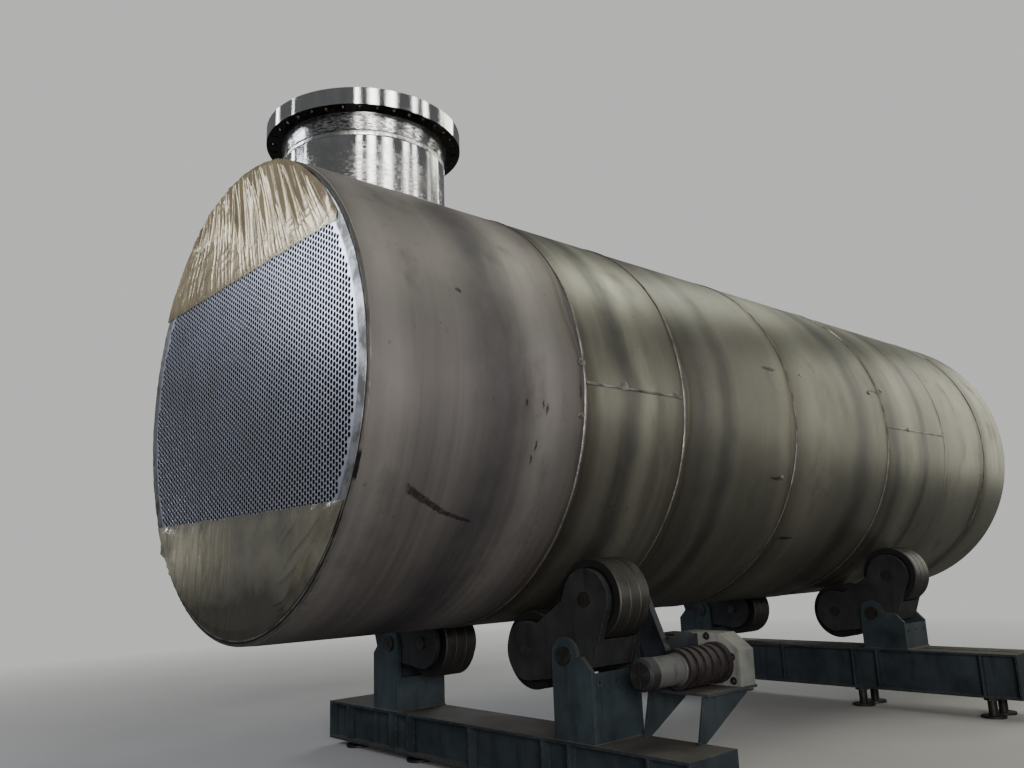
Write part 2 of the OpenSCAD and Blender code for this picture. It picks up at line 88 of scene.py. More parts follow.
# %% Read the nozzle's and the film's measures
flange_low, flange_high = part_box("nozzle_flange")
NOZZLE_X = (flange_low.x + flange_high.x) / 2 - FACE_X
NOZZLE_TOP = flange_high.z - AXIS_Z
NECK_R = (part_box("nozzle_neck")[1].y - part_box("nozzle_neck")[0].y) / 2
NECK_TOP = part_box("nozzle_neck")[1].z - AXIS_Z
FILM_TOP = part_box("film_upper")[0].z - AXIS_Z
FILM_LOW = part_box("film_lower")[1].z - AXIS_Z
drilled = next(m for m in frame["record"]["mounts"] if m["name"] == "tube_holes_1")
HOLE_R = drilled["dims"]["hole_r_mm"] / 1000
ROWS_BETWEEN = 48
PITCH = drilled["dims"]["spacing_y_mm"] / 1000 / ROWS_BETWEEN
COLUMN = PITCH * sqrt(3) / 2
print(f"nozzle at {NOZZLE_X:.3f}, holes of radius {HOLE_R:.4f} on a pitch of {PITCH:.4f}")

# %% [markdown]
# ## Camera
#
# The photograph was taken standing by the front left corner, at eye height, looking a little up.
# The drum's long edges run to one point and the rim of the sheet is an ellipse, and from these the
# place and the lens follow. A camera looks down its own -Z, so it is first tipped up to look along
# +Y, then turned towards +X, and last rolled about its own line of sight.

# %% Place the camera
def add(name, data):
    """Links a new object with this data to the scene."""
    made = bpy.data.objects.new(name, data)
    bpy.context.scene.collection.objects.link(made)
    return made


EYE = (-6.096, -4.695, 1.3514)
YAW, PITCH_UP, ROLL = radians(42.171), radians(11.906), radians(-2.207)
eye = bpy.data.cameras.new("eye")
eye.lens = 30.117
eye.sensor_width = 36
camera = add("camera", eye)
camera.matrix_world = (
    Matrix.Translation(EYE) @ Matrix.Rotation(-YAW, 4, "Z")
    @ Matrix.Rotation(pi / 2 + PITCH_UP, 4, "X") @ Matrix.Rotation(ROLL, 4, "Z")
)
bpy.context.scene.camera = camera
print("camera at", EYE, "lens", eye.lens)

# %% [markdown]
# ## Studio
#
# Satin steel has hardly a colour of its own: it shows what it reflects. A long soft roof lamp makes
# the upper flank light and lets the belly fall into shadow. A tall side lamp beyond the far end
# lights the far half, the door lamp the near end, and a small yard lamp the middle of the flank. A
# cool lamp stands where the camera sees it mirrored in the tube sheet, and a back lamp draws the
# upper edge. The polished nozzle needs tall bright shapes to mirror, so windows of light stand round
# it, and light linking keeps them from lighting anything else. A lamp's size matters more than its
# power: a small one makes a hard spot, a large one a soft slope.

# %% Lamps
def lamp(name, place, target, size, power, colour=(1, 1, 1)):
    """An area lamp that looks at a target and doesn't show in the picture itself."""
    light = bpy.data.lights.new(name, "AREA")
    light.shape = "RECTANGLE"
    light.size, light.size_y = size
    light.energy = power
    light.color = colour
    made = add(name, light)
    made.matrix_world = Matrix.Translation(place) @ (
        (Vector(target) - Vector(place)).to_track_quat("-Z", "Y").to_matrix().to_4x4()
    )
    made.visible_camera = False
    return made


lamp("roof_lamp", (3.2, -2.0, 9.0), (2.4, -0.3, 2.6), (8, 2.4), 210, (0.97, 1.0, 0.86))
lamp("side_lamp", (12.8, -3.4, 5.0), (4.0, -1.0, 2.6), (6, 7.5), 305, (1.0, 1.0, 0.85))
lamp("yard_lamp", (4.5, -9.5, 3.6), (1.0, -2.0, 2.6), (3, 2), 90, (1.0, 1.0, 0.96))
lamp("door_lamp", (-8.5, -9.0, 3.0), (-2.4, -1.0, 2.2), (4, 3.5), 640, (1.0, 0.97, 0.97))
lamp("sheet_lamp", (-8.0, 3.6, 5.4), (-4.0, -0.8, 2.9), (2.2, 2.2), 130, (0.80, 0.86, 1.0))
lamp("back_lamp", (8.0, 7.0, 6.0), (1, 0, 2.4), (6, 3), 260, (0.94, 0.97, 1.0))
print("lamps", len(bpy.data.lights))

# %% Windows of light for the nozzle
WINDOWS = [
    (-130, 0.7), (-113, 1.4), (-92, 1.4), (-64, 0.7), (-49, 0.6), (-22, 0.15), (2, 0.35), (121, 0.7),
    (150, 0.2),
]
WINDOW_AWAY, WINDOW_MID, WINDOW_TALL, WINDOW_GLOW = 9.0, 8.4, 8.4, 24
nozzle_lit = bpy.data.collections.new("nozzle_lit")
for name in ("nozzle_neck", "nozzle_flange", "nozzle_weld"):
    nozzle_lit.objects.link(frame["nodes"][name])
mid = Vector((FACE_X + NOZZLE_X, 0, WINDOW_MID))
for n, (bearing, wide) in enumerate(WINDOWS):
    away = Matrix.Rotation(radians(bearing), 3, "Z") @ Vector((WINDOW_AWAY, 0, 0))
    power = WINDOW_GLOW * wide * WINDOW_TALL
    window = lamp(f"window_lamp_{n}", mid + away, mid, (wide, WINDOW_TALL), power)
    window.light_linking.receiver_collection = nozzle_lit
print("windows at bearings", [bearing for bearing, wide in WINDOWS])

# %% Surroundings
world = bpy.data.worlds.new("studio")
world.use_nodes = True
sky = world.node_tree
dim = sky.nodes["Background"]
dim.inputs["Color"].default_value = (0.80, 0.83, 0.88, 1)
dim.inputs["Strength"].default_value = 0.15
pale = sky.nodes.new("ShaderNodeBackground")
pale.inputs["Color"].default_value = (0.60, 0.60, 0.59, 1)
path = sky.nodes.new("ShaderNodeLightPath")
either = sky.nodes.new("ShaderNodeMixShader")
sky.links.new(path.outputs["Is Camera Ray"], either.inputs["Fac"])
sky.links.new(dim.outputs[0], either.inputs[1])
sky.links.new(pale.outputs[0], either.inputs[2])
sky.links.new(either.outputs[0], sky.nodes["World Output"].inputs["Surface"])
bpy.context.scene.world = world
print("surroundings light with", dim.inputs["Strength"].default_value)

# %% [markdown]
# ## A short way to write materials
#
# A Blender material is a tree of nodes. Written out in full, each node takes several lines, so the
# class below gives the few moves that this lesson repeats: add a node, read a noise, turn a number
# into a shade, mix, and raise a bump. A value may be a number or another node's socket. Patterns
# read Object coordinates, which stay with a piece when it turns.

# %% The Finish class
class Finish:
    """A Principled material and short calls that grow its node tree."""

    def __init__(self, name, **constants):
        self.material = bpy.data.materials.new(name)
        self.material.use_nodes = True
        self.tree = self.material.node_tree
        self.shader = self.tree.nodes["Principled BSDF"]
        for socket, value in constants.items():
            self.shader.inputs[socket.replace("_", " ")].default_value = value
        spots = self.tree.nodes.new("ShaderNodeTexCoord")
        self.place, self.facing = spots.outputs["Object"], spots.outputs["Normal"]

    def node(self, kind, inputs, **settings):
        made = self.tree.nodes.new("ShaderNode" + kind)
        for key, value in settings.items():
            setattr(made, key, value)
        for key, value in inputs.items():
            if isinstance(value, bpy.types.NodeSocket):
                self.tree.links.new(value, made.inputs[key])
            else:
                made.inputs[key].default_value = value
        return made.outputs

    def axes(self, vector=None):
        """The X, Y and Z of a direction, or of the place where none is given."""
        return self.node("SeparateXYZ", {"Vector": self.place if vector is None else vector}).values()

    def noise(self, stretch, detail=4.0, grit=0.55, shift=(0, 0, 0)):
        """Noise from 0 to 1; stretch gives its waves per metre along X, Y and Z, or one for all."""
        stretch = stretch if isinstance(stretch, tuple) else (stretch,) * 3
        spread = self.node("Mapping", {"Vector": self.place, "Scale": stretch, "Location": shift})[0]
        inputs = {"Vector": spread, "Scale": 1.0, "Detail": detail, "Roughness": grit}
        return self.node("TexNoise", inputs)[0]

    def math(self, operation, first, second=0.0):
        return self.node("Math", {0: first, 1: second}, operation=operation)[0]

    def plus(self, first, second):
        return self.math("ADD", first, second)

    def minus(self, first, second):
        return self.math("SUBTRACT", first, second)

    def times(self, first, second):
        return self.math("MULTIPLY", first, second)

    def away(self, value, mark):
        """How far a value is from a mark, on either side."""
        return self.math("ABSOLUTE", self.minus(value, mark))

    def fold(self, operation, values):
        """One operation over many values, such as the MAXIMUM of several masks."""
        return reduce(lambda first, second: self.math(operation, first, second), values)

    def span(self, value, low, high, to_low=0.0, to_high=1.0):
        """Maps low..high to to_low..to_high, and stops at both ends."""
        inputs = {"Value": value, 1: low, 2: high, 3: to_low, 4: to_high}
        return self.node("MapRange", inputs)[0]

    def vary(self, value, to_low=0.0, to_high=1.0):
        """Maps the usual run of a noise, from 0.3 to 0.7, to a pair of numbers."""
        return self.span(value, 0.3, 0.7, to_low, to_high)

    def off_axis(self):
        """The distance of a place from the drum's axis."""
        raised = self.node("VectorMath", {0: self.place, 1: (0, 0, AXIS_Z)}, operation="SUBTRACT")[0]
        flat = self.node("VectorMath", {0: raised, 1: (0, 1, 1)}, operation="MULTIPLY")[0]
        return self.node("VectorMath", {0: flat}, operation="LENGTH")["Value"]

    def shades(self, value, stops):
        """A colour ramp; each stop is a place from 0 to 1 and a colour."""
        made = self.tree.nodes.new("ShaderNodeValToRGB")
        ramp = made.color_ramp
        while len(ramp.elements) < len(stops):
            ramp.elements.new(0.5)
        for element, (spot, colour) in zip(ramp.elements, sorted(stops)):
            element.position = spot
            element.color = (*colour, 1)
        self.tree.links.new(value, made.inputs["Fac"])
        return made.outputs["Color"]

    def mix(self, share, first, second, blend="MIX"):
        """Mixes two colours; a plain colour is three numbers."""
        first, second = (c if isinstance(c, bpy.types.NodeSocket) else (*c, 1) for c in (first, second))
        inputs = {0: share, 6: first, 7: second}
        return self.node("Mix", inputs, data_type="RGBA", blend_type=blend)[2]

    def bump(self, height, depth, under=None):
        """Raises a bump of the given depth in metres, over another bump where one is given."""
        inputs = {"Height": height, "Distance": depth, "Strength": 1.0}
        if under is not None:
            inputs["Normal"] = under
        return self.node("Bump", inputs)["Normal"]

    def use(self, colour, rough=None, bump=None, alpha=None):
        """Joins the ends of the tree to the shader, and gives the finished material."""
        ends = {"Base Color": colour, "Roughness": rough, "Normal": bump, "Alpha": alpha}
        for name, socket in ends.items():
            if socket is not None:
                self.tree.links.new(socket, self.shader.inputs[name])
        return self.material


print("Finish has", [name for name in vars(Finish) if not name.startswith("_")])

# %% [markdown]
# ## Shell plate
#
# The plates are rolled stainless steel that was ground in strips round the drum and has since been
# stained by hands, heat and water. One noise stretched hard along the plate's circumference makes
# the grinding; a slower one makes the broad lighter and darker strips that differ from course to
# course. These strips are partly painted light: they follow the brightness along the drum, which is
# partly shade and reflected light, and one dark strip by the double seam is a painted shadow. The
# courses after the first are painted darker and olive, as painted shade and a painted reflection of
# the roof light. Each girth seam keeps a brown and violet heat tint, found from the distance to the
# nearest seam. A few scuffs, some painted shadows beside lug scars and one long smear have a place
# of their own, by the distance along the drum and the angle above the camera's side. All noises are
# three-dimensional, so no line shows where a flat pattern would meet.

# %% Shell plate finish
PLATE_LIGHT, PLATE_WARM, PLATE_STAIN_AND_SHADE = (0.30, 0.285, 0.27), (0.225, 0.213, 0.195), (0.105, 0.099, 0.104)
# The strips are partly painted light: the dark ones are partly painted shade, the dark one at 7.31 m is a
# painted shadow by the double seam, and the light ones are partly painted sheen.
DARK_STRIPS_AND_SHADE = [
    (0.80, 0.20), (1.50, 0.07), (1.83, 0.10), (2.50, 0.22), (2.86, 0.12), (4.80, 0.16), (5.42, 0.10),
    (5.98, 0.07), (7.31, 0.05),
]
LIGHT_STRIPS_AND_SHEEN = [
    (0.10, 0.12), (1.15, 0.12), (2.0, 0.08), (3.72, 0.14), (4.1, 0.22), (5.72, 0.10), (6.9, 0.3),
    (7.75, 0.3),
]
# Some of these marks lie beside lug scars and are painted shadows of them; the rest are scuffs.
SCUFFS_AND_LUG_SHADOWS = [
    (0.585, 16.8, 0.022, 0.45), (1.00, -6.7, 0.014, 0.9), (1.15, -7.7, 0.008, 1.6),
    (1.12, -6.6, 0.005, 1.1), (1.09, -15.8, 0.012, 1.5), (1.07, -19.2, 0.006, 1.2),
    (1.414, -2.5, 0.010, 1.8), (3.50, 14.1, 0.10, 0.7), (3.52, -19.5, 0.08, 0.6),
    (3.95, -39.5, 0.12, 0.6), (5.20, 14.2, 0.12, 0.6),
]


def strip_mask(finish, along, strips):
    """How far a point is inside any of the strips, each a middle and a half width in metres."""
    return finish.fold("MAXIMUM", [
        finish.span(finish.away(along, middle), half * 1.3, half * 0.3) for middle, half in strips
    ])


def scuff_and_shadow_mask(finish, along, angle):
    """How far a point is inside any of the scuffs and painted lug shadows: middle along, degrees up, and half
    its size both ways.
    """
    insides = []
    for middle, up, half, half_up in SCUFFS_AND_LUG_SHADOWS:
        across = finish.math("DIVIDE", finish.minus(along, middle), half)
        rise = finish.math("DIVIDE", finish.minus(angle, up), half_up)
        off = finish.plus(finish.times(across, across), finish.times(rise, rise))
        insides.append(finish.span(off, 1.3, 0.3))
    return finish.fold("MAXIMUM", insides)


def drag_mask(finish, along, angle):
    """How far a point is inside the long smear, which slopes down the first course and thins out."""
    steep, flat = finish.span(along, 0.30, 0.57, -26.6, -31.9), finish.span(along, 0.57, 0.77, 0.0, -2.1)
    off = finish.away(angle, finish.plus(steep, flat))
    half = finish.span(along, 0.30, 0.78, 1.15, 0.3)
    inside = finish.span(finish.math("DIVIDE", off, half), 1.1, 0.6)
    ends = finish.times(finish.span(along, 0.295, 0.32), finish.span(along, 0.785, 0.75))
    return finish.times(inside, ends)


def plate_finish():
    plate = Finish("shell_plate", Metallic=0.78)
    x, y, z = plate.axes()
    along = plate.minus(x, FACE_X)
    turn = plate.math("ARCTAN2", plate.minus(z, AXIS_Z), plate.times(y, -1.0))
    angle = plate.times(turn, 180 / pi)
    ragged = plate.noise((34, 16, 16), 6, 0.7)
    torn_along = plate.plus(along, plate.vary(ragged, -0.011, 0.011))
    torn_angle = plate.plus(angle, plate.vary(ragged, 0.4, -0.4))
    scuffs_smear_and_shadows = plate.fold("MAXIMUM", [mask(plate, torn_along, torn_angle) for mask in (scuff_and_shadow_mask, drag_mask)])
    scuffs_smear_and_shadows = plate.times(scuffs_smear_and_shadows, plate.span(plate.noise((60, 60, 25), 4, 0.6), 0.34, 0.5, 0.6, 1.0))
    first = plate.span(along, SEAMS[0] + 0.004, SEAMS[0] - 0.004)
    drawn = plate.plus(along, plate.vary(plate.noise((0.7, 0.9, 0.9), 3), -0.07, 0.07))
    ground = plate.noise((26, 0.8, 0.8), 6, 0.6)
    hair = plate.noise((420, 4, 4), 3, 0.7)
    blotch = plate.noise((1.7, 1.5, 1.5), 6, 0.62)
    stain = plate.noise((3.1, 4.2, 1.1), 7, 0.65, (4, 1, 7))
    speck = plate.noise((30, 22, 22), 3, 0.5, (1, 5, 2))
    colour = plate.mix(plate.span(ground, 0.2, 0.8), PLATE_WARM, PLATE_LIGHT)
    colour = plate.mix(plate.span(blotch, 0.35, 0.65, 0, 0.45), colour, (0.19, 0.185, 0.165))
    # Dark strips are stain and painted shade; light strips are ground bands and painted sheen.
    dark = plate.times(strip_mask(plate, drawn, DARK_STRIPS_AND_SHADE), plate.span(blotch, 0.25, 0.6, 0.4, 0.85))
    light = plate.times(strip_mask(plate, drawn, LIGHT_STRIPS_AND_SHEEN), plate.vary(blotch, 0.75, 0.3))
    colour = plate.mix(dark, colour, PLATE_STAIN_AND_SHADE)
    colour = plate.mix(light, colour, (0.40, 0.385, 0.35))
    colour = plate.mix(plate.span(stain, 0.56, 0.74, 0, 0.5), colour, (0.11, 0.10, 0.09))
    colour = plate.mix(plate.span(speck, 0.70, 0.78, 0, 0.6), colour, (0.07, 0.062, 0.055))
    gap = plate.fold("MINIMUM", [plate.away(drawn, seam) for seam in SEAMS])
    tint = plate.shades(plate.span(gap, 0.0, 0.16), [
        (0.0, (0.17, 0.155, 0.13)), (0.14, (0.10, 0.088, 0.092)), (0.34, (0.17, 0.145, 0.11)),
        (1.0, (0.2, 0.19, 0.17)),
    ])
    colour = plate.mix(plate.span(gap, 0.02, 0.15, 0.7, 0.0), colour, tint)
    # Scuffs, the smear and the painted lug shadows darken the plate.
    colour = plate.mix(plate.times(scuffs_smear_and_shadows, 0.85), colour, (0.035, 0.031, 0.034))
    # The courses after the first are multiplied darker and olive: painted shade and a painted reflection of
    # the roof light.
    colour = plate.mix(1.0, colour, plate.mix(first, (0.87, 0.88, 0.76), (1.0, 0.965, 0.975)), "MULTIPLY")
    rough = plate.plus(plate.vary(ground, 0.38, 0.48), plate.span(stain, 0.5, 0.75, 0, 0.12))
    rough = plate.plus(rough, plate.times(first, 0.16))
    broad = plate.bump(plate.noise((2.2, 1.4, 1.4), 2), 0.006)
    lines = plate.bump(hair, 0.00035, plate.bump(ground, 0.0005, broad))
    return plate.use(colour, rough, lines)


SHELL_FINISH = plate_finish()
print("nodes in the plate finish", len(SHELL_FINISH.node_tree.nodes))

# %% [markdown]
# ## Weld metal and machined steel
#
# Weld metal is duller than plate, and its ripples cross the bead. A noise with long waves along
# the drum and short ones round it draws them. The machined sheet is bright, with fine rings left by
# the turning tool: a noise that reads only the distance from the axis makes them.

# %% Weld, sheet and bore finishes
def weld_finish():
    weld = Finish("weld_metal", Metallic=0.85)
    ripple = weld.noise((12, 130, 130), 2)
    soot = weld.noise(9, 5)
    colour = weld.mix(weld.span(soot, 0.35, 0.7), (0.30, 0.285, 0.26), (0.10, 0.09, 0.08))
    colour = weld.mix(weld.span(ripple, 0.55, 0.8, 0, 0.5), colour, (0.50, 0.48, 0.44))
    rough = weld.vary(soot, 0.32, 0.6)
    return weld.use(colour, rough, weld.bump(ripple, 0.0025))


def machined_finish():
    face = Finish("machined_face", Metallic=1.0)
    radius = face.off_axis()
    rings = face.node("CombineXYZ", {"X": face.times(radius, 90.0)})[0]
    turned = face.node("TexNoise", {"Vector": rings, "Scale": 1.0, "Detail": 3.0})[0]
    cloud = face.noise(3, 4)
    smear = face.noise(7, 6, 0.65)
    colour = face.mix(face.span(cloud, 0.35, 0.7), (0.84, 0.85, 0.92), (0.66, 0.67, 0.76))
    # Beyond the drilled field the face turns darker and cloudier.
    darker_rim = face.mix(face.span(smear, 0.42, 0.60), (0.17, 0.165, 0.15), (0.50, 0.50, 0.49))
    rim = face.span(radius, FIELD_R + 0.004, FIELD_R + 0.018)
    colour = face.mix(rim, colour, darker_rim)
    rough = face.plus(face.vary(cloud, 0.24, 0.34), face.vary(turned, 0, 0.08))
    rough = face.plus(rough, face.times(rim, face.span(smear, 0.4, 0.65, 0.16, 0.0)))
    return face.use(colour, rough, face.bump(turned, 0.0004))


# The walls and ends of the holes are painted near-black: painted shade in the holes.
def bore_shade_finish():
    bore = Finish("tube_bore_shade", Metallic=0.9)
    depth = bore.noise(40, 3)
    colour = bore.mix(bore.vary(depth), (0.075, 0.078, 0.10), (0.02, 0.02, 0.026))
    return bore.use(colour, bore.vary(depth, 0.35, 0.5))


def rim_finish():
    """Weld round a tube sheet: dark in the groove by the sheet, light by the shell, with tacks."""
    rim = Finish("rim_weld_metal", Metallic=0.8)
    soot = rim.noise(5, 5, 0.6)
    tack = rim.noise(2.7, 2)
    metal = rim.mix(rim.span(soot, 0.35, 0.65), (0.30, 0.28, 0.24), (0.16, 0.14, 0.115))
    groove = rim.span(rim.off_axis(), BORE_R + 0.010, BORE_R + 0.006)
    colour = rim.mix(groove, metal, (0.03, 0.027, 0.024))
    colour = rim.mix(rim.span(tack, 0.66, 0.70), colour, (0.03, 0.026, 0.024))
    rough = rim.vary(soot, 0.36, 0.6)
    return rim.use(colour, rough, rim.bump(soot, 0.003))


WELD, MACHINED, BORE_SHADE, RIM_WELD = weld_finish(), machined_finish(), bore_shade_finish(), rim_finish()
print("metal finishes", [m.name for m in (WELD, MACHINED, BORE_SHADE, RIM_WELD)])

# %% [markdown]
# The nozzle is polished like a mirror, with three exceptions. The underside of the flange is painted
# near-black as painted shade, the tapered hub is duller, and towards its foot the neck is scratched
# where the grinder stopped. The finish tells these apart by height above the drum's axis and, for
# the underside, by the surface's own direction, which turns with the piece.

# %% Nozzle finish
def mirror_finish():
    mirror = Finish("mirror_polish", Metallic=1.0)
    up = mirror.minus(mirror.axes()[2], AXIS_Z)
    # The underside of the flange is painted near-black: painted shade.
    down = mirror.span(mirror.axes(mirror.facing)[2], -0.3, -0.8)
    scratch = mirror.noise((30, 30, 120), 6, 0.7)
    broken = mirror.plus(up, mirror.vary(mirror.noise((26, 26, 14), 6, 0.75), -0.14, 0.14))
    worn = mirror.span(broken, SHELL_R + 0.24, SHELL_R + 0.12)
    hub = mirror.times(mirror.span(up, NECK_TOP, NECK_TOP + 0.01),
                      mirror.span(up, NOZZLE_TOP - 0.11, NOZZLE_TOP - 0.12))
    smear = mirror.noise((14, 14, 5), 5)
    colour = mirror.mix(mirror.span(smear, 0.4, 0.75), (0.74, 0.73, 0.70), (0.60, 0.59, 0.55))
    colour = mirror.mix(mirror.times(worn, mirror.span(scratch, 0.35, 0.6)), colour, (0.45, 0.44, 0.41))
    colour = mirror.mix(mirror.times(hub, mirror.span(scratch, 0.4, 0.6)), colour, (0.10, 0.10, 0.095))
    colour = mirror.mix(down, colour, (0.035, 0.034, 0.032))
    matt = mirror.times(worn, mirror.span(scratch, 0.42, 0.60, 0.03, 0.26))
    rough = mirror.plus(mirror.span(smear, 0.45, 0.75, 0.03, 0.09), matt)
    rough = mirror.plus(rough, mirror.times(hub, 0.14))
    broad = mirror.bump(mirror.noise((5, 5, 1.2), 2), 0.0025)
    return mirror.use(colour, rough, mirror.bump(scratch, 0.0004, broad))


MIRROR = mirror_finish()
print("nozzle finish", MIRROR.name)

# %% [markdown]
# ## Paint that has worked for years
#
# The stands wear dull blue-grey paint. Three things age it: dust settles on what faces up, edges
# are knocked bare, and grease darkens the rest in clouds. Dust asks the surface's own normal how
# far it looks up. Bare edges come from the Bevel node: where the softened normal differs from the
# true one there is an edge, and a noise breaks the line up into chips.

# %% Painted and plain steel finishes
def paint_finish(name, paint, dust=0.7, chips=0.5, dust_colour=(0.12, 0.105, 0.085), zones=()):
    """Worn paint; each zone is a place along the drum and the paint on the near side of it."""
    coat = Finish(name, Metallic=0.0, Specular_IOR_Level=0.4)
    cloud = coat.noise(2.6, 6, 0.62)
    grain = coat.noise(45, 5, 0.6)
    run = coat.noise((16, 16, 1.5), 5, 0.6, (2, 2, 2))
    dark = tuple(c * 0.55 for c in paint)
    pale = tuple(min(1, c * 1.35 + 0.01) for c in paint)
    colour = coat.mix(coat.vary(cloud), dark, pale)
    along = coat.axes()[0]
    for edge, tone in zones:
        colour = coat.mix(coat.span(along, edge + 0.002, edge - 0.002), colour, tone)
    colour = coat.mix(coat.span(run, 0.52, 0.72, 0, 0.55), colour, tuple(c * 0.35 for c in paint))
    true = coat.node("NewGeometry", {})["Normal"]
    soft = coat.node("Bevel", {"Radius": 0.007}, samples=4)[0]
    same = coat.node("VectorMath", {0: true, 1: soft}, operation="DOT_PRODUCT")["Value"]
    bare = coat.times(coat.span(same, 0.985, 0.9), coat.span(grain, 0.46, 0.56))
    colour = coat.mix(coat.times(bare, chips), colour, (0.20, 0.19, 0.175))
    upward = coat.axes(coat.facing)[2]
    settled = coat.times(coat.span(upward, 0.25, 0.95), coat.span(cloud, 0.25, 0.65, 0.45, 1.0))
    colour = coat.mix(coat.times(settled, dust), colour, dust_colour)
    rough = coat.plus(coat.vary(cloud, 0.42, 0.62), coat.times(settled, 0.3))
    return coat.use(colour, rough, coat.bump(grain, 0.0006))


def roller_finish():
    steel = Finish("rolled_face", Metallic=0.75)
    sides = steel.math("ABSOLUTE", steel.axes(steel.facing)[0])
    cloud = steel.noise(5, 6, 0.6)
    rolled = steel.noise((150, 6, 6), 4)
    face = steel.mix(steel.span(rolled, 0.35, 0.7), (0.055, 0.052, 0.046), (0.12, 0.115, 0.098))
    face = steel.mix(steel.span(cloud, 0.45, 0.7, 0, 0.7), face, (0.045, 0.04, 0.035))
    colour = steel.mix(steel.span(sides, 0.6, 0.95), face, (0.03, 0.03, 0.03))
    rough = steel.plus(steel.vary(rolled, 0.40, 0.54), steel.span(sides, 0.6, 0.95, 0, 0.2))
    return steel.use(colour, rough, steel.bump(cloud, 0.001))


def plain_steel(name, light, dark, rough=0.4, metallic=0.9):
    steel = Finish(name, Metallic=metallic)
    cloud = steel.noise(14, 5)
    colour = steel.mix(steel.vary(cloud), light, dark)
    return steel.use(colour, steel.vary(cloud, rough - 0.08, rough + 0.12), steel.bump(cloud, 0.0008))


print("finishes so far", [m.name for m in bpy.data.materials if m.use_nodes][-6:])

# %% [markdown] ## Making, placing and attaching a piece Each new mesh starts as a bmesh: a few
# points or a ready shape that operators such as spin, extrude and bevel work on. The function named
# piece does what every finished piece needs. It moves the shape to its place in the mesh itself,
# because the object has to stay at the origin. Blender starts its vector noise from the clock, so a
# fixed seed is set: each run then gives the same welds.

# %% Helpers for pieces
def as_mesh(shape, name):
    """Writes a bmesh to a mesh, and frees it."""
    made = bpy.data.meshes.new(name)
    shape.to_mesh(made)
    shape.free()
    return made


CORNER = 35


def piece(name, shape, finishes, body, place=None, corner=CORNER):
    """Turns a bmesh into a finished piece that rides on a body, and prints its faces."""
    if place is not None:
        bmesh.ops.transform(shape, matrix=place, verts=shape.verts)
    mesh = as_mesh(shape, name)
    for finish in finishes if isinstance(finishes, list) else [finishes]:
        mesh.materials.append(finish)
    mesh.polygons.foreach_set("use_smooth", [True] * len(mesh.polygons))
    mesh.set_sharp_from_angle(angle=radians(corner))
    made = add(name, mesh)
    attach(made, body)
    print(name, len(mesh.polygons), "faces")
    return made


def spun(profile, steps, closed=True):
    """Turns an outline of (along, radius) points once round the local X axis."""
    shape = bmesh.new()
    points = [shape.verts.new((along, 0, radius)) for along, radius in profile]
    pairs = list(zip(points, points[1:])) + ([(points[-1], points[0])] if closed else [])
    lines = [shape.edges.new(pair) for pair in pairs]
    bmesh.ops.spin(shape, geom=points + lines, cent=(0, 0, 0), axis=(1, 0, 0), dvec=(0, 0, 0),
                   angle=tau, steps=steps, use_merge=True)
    bmesh.ops.recalc_face_normals(shape, faces=shape.faces)
    return shape


def wave(*place):
    """A smooth noise from -1 to 1 at a place."""
    return noise.noise(Vector(place))


NOISE_SEED = 1
noise.seed_set(NOISE_SEED)


def roughen(shape, amount, waves, keep=lambda point: False):
    """Pushes points about by a smooth noise; keep says which points stay."""
    for vert in shape.verts:
        if not keep(vert.co):
            vert.co += amount * noise.noise_vector(vert.co * waves)


print("a noise at one place", round(wave(0.5, 0.2, 0.1), 3))

# %% [markdown]
# ## Shell courses
#
# Each course is a plate rolled into a ring. Real rings aren't perfect: the plate is drawn in a
# little beside each seam, where the weld shrinks, and it bulges and flattens by a millimetre or
# two between them. Highlights on satin steel show that at once, so it is modelled. A ring is an
# outline spun round the axis, with points every hand's breadth, and a slow noise moves only the
# outer skin in and out. The ends stay exact, so that the rings still meet, and so does the skin on
# the tracks of the rollers, where any bulge would run into them as the drum turns.

# %% Roll the six courses
def named(start, but=()):
    """The names of the CAD nodes that begin alike."""
    return [name for name in frame["nodes"] if name.startswith(start) and name not in but]


STEPS_ROUND = 256
SEAM_PULL, PULL_REACH = 0.003, 0.12
SKIN_BULGE, BULGE_FADE = 0.0022, 0.1
HAND = 0.09
ROLLERS = named("roller_", ["roller_axles"])
TRACKS = [[corner.x - FACE_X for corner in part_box(name)] for name in ROLLERS]


def course_outline(start, end):
    """The cut through a course: its bore and its outer skin, drawn in at both ends."""
    count = max(4, round((end - start) / HAND))
    skin = []
    for n in range(count + 1):
        along = start + (end - start) * n / count
        edge = min(along - start, end - along)
        skin.append((along, SHELL_R - SEAM_PULL * max(0, 1 - edge / PULL_REACH) ** 2))
    return [(start, BORE_R)] + skin + [(end, BORE_R)]


def bulge(shape, start, end):
    """Moves the outer skin in and out, but not at the ends, nor a hand's breadth round a track."""
    for vert in shape.verts:
        x, y, z = vert.co
        radius = hypot(y, z)
        off_track = min(max(low - x, x - high) for low, high in TRACKS) - HAND
        fade = min(1, min(x - start, end - x, off_track) / BULGE_FADE)
        if radius > BORE_R + 0.01 and fade > 0:
            swell = wave(x * 1.5, y * 1.1, z * 1.1)
            vert.co.yz *= 1 + fade * SKIN_BULGE * swell / radius


courses = []
for n, (start, end) in enumerate(ENDS, 1):
    ring = spun(course_outline(start, end), STEPS_ROUND)
    bulge(ring, start, end)
    made = piece(f"rolled_course_{n}", ring, SHELL_FINISH, "vessel", VESSEL)
    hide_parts(f"shell_course_{n}")
    courses.append(made)

# %% [markdown]
# The first course has a round opening under the nozzle. The hole is cut by a Boolean with a drum
# as wide as the neck, and the result is written back to the mesh, so that no modifier is left.

